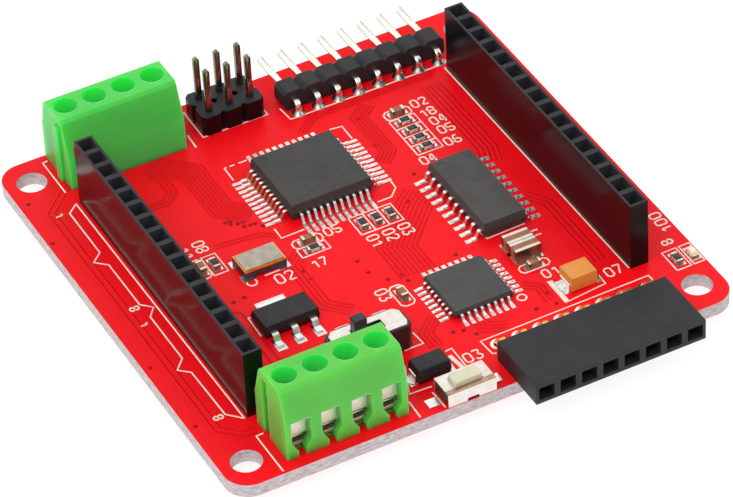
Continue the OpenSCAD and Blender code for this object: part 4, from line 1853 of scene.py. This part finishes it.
@dataclass
class LeadedChip:
    """A moulded chip with rows of bent leads on its pads."""

    name: str
    finish: Finish
    leads: int
    pitch: float
    sides: int
    face: float
    reach: float
    rise: float
    thick: float
    foot: float
    width: float
    pad_in: float
    pad_out: float
    pad_width: float
    edge: float = 0.07

    def build(self) -> None:
        """Builds the body, the leads and the pads under them."""
        body, leads = f"{self.name}_body", f"{self.name}_leads"
        settle(copied(f"{self.name}_package", body, self.edge), self.finish, BOARD, body)
        mesh = bmesh.new()
        knee = (self.reach - self.foot) * 0.5
        path = [
            (-0.1, self.rise + self.thick / 2), (knee, self.rise + self.thick / 2),
            (self.reach - self.foot, self.thick / 2 + 0.03), (self.reach, self.thick / 2 + 0.03),
        ]
        strip(
            mesh, rounded(path, 0.22, 4), self.width, self.thick,
            shifted(self.face, 0, TOP) @ ALONG_X,
        )
        self.lay(f"{self.name}_bent_leads", mesh, TIN, leads)
        mesh = bmesh.new()
        half = self.pad_width / 2
        block(mesh, (self.pad_in, -half, TOP - SUNK), (self.pad_out, half, TOP + 0.035))
        toe = self.face + self.reach
        fillet = [(toe - 0.3, 0.09), (toe + 0.02, 0.09), (toe + 0.28, 0.03)]
        strip(mesh, fillet, self.width + 0.04, 0.1, shifted(0, 0, TOP) @ ALONG_X, tip=0.4)
        self.lay(f"{self.name}_pads", mesh, SOLDER)

    def lay(self, name: str, mesh: bmesh.types.BMesh, finish: Finish, *nodes: str) -> None:
        """Repeats one lead or pad along each side of the package.

        Args:
            name: the piece's name.
            mesh: one lead or pad on the +X side of a package at the origin.
            finish: its finish.
            nodes: CAD nodes it stands for.
        """
        x, y = middle(f"{self.name}_body")
        piece = SIDES.make(
            name, new_piece("seed", mesh, False), finish,
            Leads=self.leads, Pitch=self.pitch * MM, Sides=self.sides, Centre=(x * MM, y * MM, 0),
        )
        settle(piece, finish, BOARD, *nodes)


@dataclass
class Regulator:
    """A voltage regulator with a wide tab behind and three legs in front."""

    pitch: float = 2.3
    reach: float = 1.75
    rise: float = 0.72
    thick: float = 0.24
    tab_width: float = 3.0
    tab_foot: float = 0.9
    leg_width: float = 0.72
    leg_foot: float = 0.8
    pad_start: float = 0.35
    pad_beyond: float = 0.55
    pad_margin: float = 0.2
    edge: float = 0.09

    def build(self) -> None:
        """Builds the body, the tab, the legs and their pads."""
        body = "regulator_body"
        settle(copied("regulator_package", body, self.edge), BLACK_EPOXY, BOARD, body)
        x, y = middle(body)
        low, high = node_box(body)
        half = (high.y - low.y) / 2 / MM
        metal, pads = bmesh.new(), bmesh.new()
        tab = (90, 0, self.tab_width, self.tab_foot)
        legs = [(-90, self.pitch * i, self.leg_width, self.leg_foot) for i in (-1, 0, 1)]
        for turn, shift, width, foot in (tab, *legs):
            place = shifted(x, y, TOP, turn) @ shifted(half, shift, 0)
            path = [
                (-0.1, self.rise + self.thick / 2), (0.5, self.rise + self.thick / 2),
                (self.reach - foot, self.thick / 2), (self.reach, self.thick / 2),
            ]
            strip(metal, rounded(path, 0.25, 4), width, self.thick, place @ ALONG_X)
            start, reach = self.pad_start, self.reach + self.pad_beyond
            side = width / 2 + self.pad_margin
            outline = [(start, -side), (reach, -side), (reach, side), (start, side)]
            prism(pads, outline, -SUNK, 0.04, place)
        settle(new_piece("regulator_tab_and_legs", metal), TIN, BOARD, "regulator_leads")
        settle(new_piece("regulator_pads", pads), SOLDER, BOARD)


@dataclass
class Crystal:
    """A quartz crystal in a ceramic case with a seam-welded lid."""

    pad: Flat = (1.4, 1.2)
    pad_at: Flat = (2.15, 1.35)
    ring_share: float = 0.62
    inset: float = 0.15

    def build(self) -> None:
        """Builds the case, the gold seal ring, the lid and the pads."""
        settle(copied("crystal_case", "crystal_base", 0.05), CRYSTAL_CERAMIC, BOARD, "crystal_base")
        x, y = middle("crystal_base")
        low, high = node_box("crystal_lid")
        width, deep = (high.x - low.x) / MM, (high.y - low.y) / MM
        foot, head = low.z / MM, high.z / MM
        seal, lid, pads = bmesh.new(), bmesh.new(), bmesh.new()
        half, flank = width / 2, deep / 2
        ring = foot + (head - foot) * self.ring_share
        block(seal, (x - half, y - flank, foot), (x + half, y + flank, ring))
        ease(seal, 0.05)
        block(
            lid, (x - half + self.inset, y - flank + self.inset, ring - 0.04),
            (x + half - self.inset, y + flank - self.inset, head),
        )
        ease(lid, 0.14, 3)
        for sx in (-1, 1):
            for sy in (-1, 1):
                cx, cy = x + sx * self.pad_at[0], y + sy * self.pad_at[1]
                block(
                    pads, (cx - self.pad[0] / 2, cy - self.pad[1] / 2, TOP - SUNK),
                    (cx + self.pad[0] / 2, cy + self.pad[1] / 2, TOP + 0.05),
                )
        settle(new_piece("crystal_seal_ring", seal), SEAL_GOLD, BOARD)
        settle(new_piece("crystal_cover", lid), LID_METAL, BOARD, "crystal_lid")
        settle(new_piece("crystal_pads", pads), SOLDER, BOARD)


@dataclass
class FoldedPart:
    """A moulded two-terminal part whose straps fold in under it."""

    name: str
    straps: str
    finish: Finish
    half: float
    width: float
    rise: float
    thick: float
    under: float
    pad_reach: float
    edge: float = 0.09

    def build(self) -> None:
        """Builds the body, its two straps and their pads."""
        body = f"{self.name}_body"
        settle(copied(f"{self.name}_moulding", body, self.edge), self.finish, BOARD, body)
        x, y = middle(body)
        metal, pads = bmesh.new(), bmesh.new()
        t = self.thick
        for turn in (0, 180):
            place = shifted(x, y, TOP, turn)
            fold = [
                (self.half - 0.15, self.rise - t / 2), (self.half + t / 2, self.rise - t / 2),
                (self.half + t / 2, t / 2 + 0.03), (self.half - self.under, t / 2 + 0.03),
            ]
            strip(metal, rounded(fold, 0.14, 3), self.width, t, place @ ALONG_X)
            edge = self.width / 2 + 0.15
            start, reach = self.half - 0.4, self.pad_reach
            outline = [(start, -edge), (reach, -edge), (reach, edge), (start, edge)]
            prism(pads, outline, -SUNK, 0.04, place)
            wedge = [(self.half + 0.02, 0.1), (self.half + t + 0.1, 0.1), (reach, 0.05)]
            strip(pads, wedge, self.width, 0.14, place @ ALONG_X, tip=0.3)
        settle(new_piece(f"{self.name}_folded_straps", metal), TIN, BOARD, self.straps)
        settle(new_piece(f"{self.name}_pads", pads), SOLDER, BOARD)

    def band(self, finish: Finish, share: float, length: float) -> None:
        """Prints a polarity band across the top of the body.

        Args:
            finish: the band's finish.
            share: place of its middle, from -1 to 1 along the body.
            length: its length along the body, in mm.
        """
        low, high = (corner / MM for corner in node_box(f"{self.name}_body"))
        x = (low.x + high.x) / 2 + share * (high.x - low.x) / 2
        mesh = bmesh.new()
        block(
            mesh, (x - length / 2, low.y + 0.2, high.z - 0.05),
            (x + length / 2, high.y - 0.2, high.z + 0.004),
        )
        settle(new_piece(f"{self.name}_band", mesh), finish, BOARD)


# ---------------------------------------------------------------- switches and small parts


@dataclass
class SlideSwitch:
    """A slide switch whose lever runs in a slot of its metal cover."""

    case_edge: float = 0.12
    cover_edge: float = 0.07
    pin_edge: float = 0.04
    lever_edge: float = 0.16

    def build(self) -> None:
        """Builds the case, the cover, the pins and the lever."""
        for name, part, width, finish, body in (
            ("case", "base", self.case_edge, SWITCH_PLASTIC, BOARD),
            ("plate", "cover", self.cover_edge, SWITCH_STEEL, BOARD),
            ("legs", "pins", self.pin_edge, TIN, BOARD),
            ("lever", "actuator", self.lever_edge, SWITCH_PLASTIC, "slide_actuator"),
        ):
            node = f"slide_switch_{part}"
            settle(copied(f"slide_switch_{name}", node, width, 3), finish, body, node)


@dataclass
class ResetSwitch:
    """A low push switch with a bent steel cover.

    The opening is the distance from the button's centre to where the painted brown reflection on
    the cover's top starts.
    """

    case_edge: float = 0.06
    pin_edge: float = 0.04
    button_edge: float = 0.1
    opening: float = 0.87

    def build(self) -> None:
        """Builds the base, the cover, the terminals and the button."""
        for name, part, width, finish, body in (
            ("switch_bed", "base", self.case_edge, SWITCH_PLASTIC, BOARD),
            ("switch_shell", "cover", self.case_edge, SWITCH_STEEL, BOARD),
            ("switch_feet", "terminals", self.pin_edge, TIN, BOARD),
            ("button_cap", "button", self.button_edge, BUTTON_PLASTIC, "reset_button"),
        ):
            node = f"reset_switch_{part}"
            piece = copied(f"reset_{name}", node, width, 3)
            if part == "cover":
                # The cover's top in front of the button gets a painted brown reflection.
                self.paint_front_reflection(piece)
            settle(piece, finish, body, node)

    def paint_front_reflection(self, shell: bpy.types.Object) -> None:
        """Paints a brown reflection onto the top of the cover in front of the button.

        Args:
            shell: the finished cover.
        """
        front = (middle("reset_switch_button")[1] - self.opening) * MM
        mesh = bmesh.new()
        mesh.from_mesh(shell.data)
        bmesh.ops.bisect_plane(
            mesh, geom=[*mesh.verts, *mesh.edges, *mesh.faces], dist=0.001 * MM,
            plane_co=(0, front, 0), plane_no=(0, 1, 0),
        )
        mesh.to_mesh(shell.data)
        mesh.free()
        # Top faces in front of the cut get the painted reflection.
        dress(
            shell, (SWITCH_STEEL, SWITCH_STEEL_PAINTED_REFLECTION),
            lambda face: int(face.center.y < front and face.normal.z > 0.7),
        )


@dataclass
class ChipParts:
    """The small resistors and capacitors with their metal ends and pads."""

    pad_beyond: float = 0.34
    pad_margin: float = 0.12

    def build(self) -> None:
        """Builds the bodies, the metal ends and the pads under them."""
        resistors, capacitors = "chip_resistors", "chip_capacitors"
        glazed = copied("resistor_chips", resistors, 0.03, 1)
        dress(glazed, (ALUMINA, RESISTOR_GLAZE), faces_up)
        settle(glazed, RESISTOR_GLAZE, BOARD, resistors)
        fired = copied("capacitor_chips", capacitors, 0.05)
        settle(fired, CAPACITOR_CERAMIC, BOARD, capacitors)
        ends = copied("chip_end_caps", "chip_terminations", 0.06)
        # Upright faces of the ends get painted shade; their tops stay bright.
        dress(ends, (END_TIN_PAINTED_SHADE, END_TIN), faces_up)
        settle(ends, END_TIN, BOARD, "chip_terminations")
        pads, beyond, margin = bmesh.new(), self.pad_beyond, self.pad_margin
        for low, high in islands("chip_terminations"):
            along_x = high.x - low.x < high.y - low.y
            dx, dy = (beyond, margin) if along_x else (margin, beyond)
            block(
                pads, (low.x - dx, low.y - dy, TOP - SUNK), (high.x + dx, high.y + dy, TOP + 0.04)
            )
        settle(new_piece("chip_pads", pads), SOLDER, BOARD)


@dataclass
class StatusLamp:
    """The small lamp that shows that the board has power."""

    edge: float = 0.07

    def build(self) -> None:
        """Builds the cast lamp body."""
        settle(copied("status_lamp", "status_led", self.edge), LAMP_RESIN, BOARD, "status_led")


@dataclass
class SolderJoints:
    """The cones of solder under the board."""

    height: float = 0.7
    sizes: tuple[tuple[str, float, float], ...] = (
        ("small", 0, 0.76), ("middle", 0.76, 1.0), ("wide", 1.0, 2.0),
    )

    def build(self) -> None:
        """Puts a cone at each joint, in three sizes."""
        joints = solder_places()
        profile = [
            (0, 0), (1, 0), (0.8, -0.14), (0.62, -0.34), (0.52, -0.56), (0.46, -self.height),
            (0, -self.height),
        ]
        nodes: tuple[str, ...] = ("solder_joints",)
        for name, least, most in self.sizes:
            group = [joint for joint in joints if least <= joint[2] < most]
            if not group:
                continue
            radius = group[0][2]
            cone = lathe("cone", [(radius * share, z) for share, z in profile], corners=16)
            seed = spots_seed([(x, y) for x, y, _ in group], 0.0)
            piece = SPOTS.make(f"solder_cones_{name}", seed, SOLDER, Shape=cone, Size=1.0)
            settle(piece, SOLDER, BOARD, *nodes)
            nodes = ()


# ---------------------------------------------------------------- studio


@dataclass(frozen=True)
class Paper(Finish):
    """Matt white sweep of thin paper, lit from below as well."""

    lit: float = 0.88

    def pattern(self, tree: bpy.types.NodeTree, shader: bpy.types.Node) -> None:
        """Leaves the paper even, so that only a faint shadow shows on it.

        Args:
            tree: the material's tree.
            shader: its Principled shader.
        """
        shader.inputs["Base Color"].default_value = linear(self.colour)
        shader.inputs["Roughness"].default_value = self.roughness
        shader.inputs["Emission Color"].default_value = (1.0, 1.0, 1.0, 1.0)
        shader.inputs["Emission Strength"].default_value = self.lit


PAPER = Paper("paper_white_matt", "floor", "#747474", "#747474", 0.9)


@dataclass
class Studio:
    """A white sweep, soft lights and a long-lens camera."""

    azimuth: float = -25.771
    elevation: float = 40.022
    roll: float = -3.432
    distance: float = 486.24
    target: Point = (0.349, -1.072, 0.0)
    lens: float = 221.386
    floor_half: float = 3000.0
    front_glow: float = 0.45
    back_glow: float = 1.2

    def build(self) -> None:
        """Sets the floor, the lights, the surroundings and the camera."""
        self.floor()
        self.lights()
        self.camera()
        bpy.context.scene.view_settings.view_transform = "Standard"

    def floor(self) -> None:
        """Lays the sweep just under the lowest pins."""
        mesh = bmesh.new()
        reach = self.floor_half
        corners = [(-reach, -reach), (reach, -reach), (reach, reach), (-reach, reach)]
        mesh.faces.new([mesh.verts.new(Vector((x, y, LOWEST)) * MM) for x, y in corners])
        sweep = new_piece("paper_sweep", mesh)
        sweep.data.materials.append(PAPER.material())

    def lights(self) -> None:
        """Hangs two soft lights and gives the room a white glow, brightest behind the board."""
        world = bpy.data.worlds.new("white_room")
        world.use_nodes = True
        back = world.node_tree.nodes["Background"]
        back.inputs["Color"].default_value = (1.0, 1.0, 1.0, 1.0)
        tree = world.node_tree
        direction = add(tree, "ShaderNodeTexCoord").outputs["Generated"]
        split = add(tree, "ShaderNodeSeparateXYZ", None, {"Vector": direction})
        glow = add(
            tree,
            "ShaderNodeMapRange",
            {"From Min": -1.0, "To Min": self.front_glow, "To Max": self.back_glow},
            {"Value": split.outputs["Y"]},
        )
        tree.links.new(glow.outputs["Result"], back.inputs["Strength"])
        bpy.context.scene.world = world
        for name, place, size, power in (
            ("soft_box_above", (-0.35, -0.3, 0.75), 0.6, 3.6),
            ("soft_box_side", (0.6, -0.35, 0.5), 0.5, 0.9),
        ):
            lamp = bpy.data.lights.new(name, "AREA")
            lamp.shape, lamp.size, lamp.energy = "SQUARE", size, power
            holder = bpy.data.objects.new(name, lamp)
            way = -Vector(place)
            holder.matrix_world = (
                Matrix.Translation(place) @ way.to_track_quat("-Z", "Y").to_matrix().to_4x4()
            )
            bpy.context.scene.collection.objects.link(holder)

    def camera(self) -> None:
        """Sets the camera on its line of sight, with its slight roll."""
        az, el, roll = (math.radians(a) for a in (self.azimuth, self.elevation, self.roll))
        back = Vector(
            (math.sin(az) * math.cos(el), -math.cos(az) * math.cos(el), math.sin(el))
        )
        level = Vector((math.cos(az), math.sin(az), 0))
        upright = back.cross(level)
        right = level * math.cos(roll) + upright * math.sin(roll)
        up = upright * math.cos(roll) - level * math.sin(roll)
        data = bpy.data.cameras.new("long_lens")
        data.lens, data.sensor_width = self.lens, 36.0
        data.clip_start, data.clip_end = 0.01, 10.0
        camera = bpy.data.objects.new("long_lens", data)
        turn = Matrix((right, up, back)).transposed().to_4x4()
        spot = (Vector(self.target) + back * self.distance) * MM
        camera.matrix_world = Matrix.Translation(spot) @ turn
        bpy.context.scene.collection.objects.link(camera)
        bpy.context.scene.camera = camera


# ---------------------------------------------------------------- the whole object


def chips() -> list[LeadedChip]:
    """The three leaded chips with their sizes, in mm."""
    return [
        LeadedChip(
            "led_driver", DARKER_EPOXY, leads=11, pitch=0.8, sides=4, face=5.0, reach=1.6,
            rise=0.94, thick=0.15, foot=0.7, width=0.3, pad_in=5.7, pad_out=7.7, pad_width=0.46,
        ),
        LeadedChip(
            "source_driver", CHIP_EPOXY, leads=10, pitch=1.27, sides=2, face=2.65, reach=1.25,
            rise=0.88, thick=0.16, foot=0.55, width=0.42, pad_in=3.2, pad_out=4.6, pad_width=0.6,
        ),
        LeadedChip(
            "microcontroller", CHIP_EPOXY, leads=8, pitch=0.8, sides=4, face=3.5, reach=1.0,
            rise=0.49, thick=0.13, foot=0.5, width=0.3, pad_in=3.9, pad_out=5.0, pad_width=0.46,
            edge=0.05,
        ),
    ]


def main() -> None:
    """Builds every sub-assembly in order and reports the pieces."""
    logging.basicConfig(level=logging.INFO, format="%(message)s")
    tantalum = FoldedPart(
        "tantalum", "tantalum_straps", TANTALUM_EPOXY, half=1.6, width=2.0, rise=0.98,
        thick=0.13, under=0.8, pad_reach=2.3, edge=0.07,
    )
    diode = FoldedPart(
        "diode", "diode_leads", BLACK_EPOXY, half=2.0, width=1.4, rise=1.16, thick=0.16,
        under=0.9, pad_reach=2.65, edge=0.18,
    )
    assemblies: list[Any] = [
        Studio(), Board(), MatrixSocket("left", GLOSSY_POLYESTER),
        MatrixSocket("right", WORN_POLYESTER),
        # The rear block's wall towards the board's middle gets painted light.
        ScrewTerminal(End.REAR, TERMINAL_PLASTIC_BLUER, TERMINAL_PLASTIC_PAINTED_LIGHT),
        ScrewTerminal(End.FRONT, TERMINAL_PLASTIC, TERMINAL_PLASTIC),
        ProgrammingHeader(), EdgeHeader(), EdgeSocket(), *chips(), Regulator(), Crystal(),
        tantalum, diode, SlideSwitch(), ResetSwitch(), ChipParts(), StatusLamp(), SolderJoints(),
    ]
    for assembly in assemblies:
        assembly.build()
        LOG.info("%s done", type(assembly).__name__)
    tantalum.band(POLARITY_INK, -0.7, 0.5)


if __name__ == "__main__":
    main()
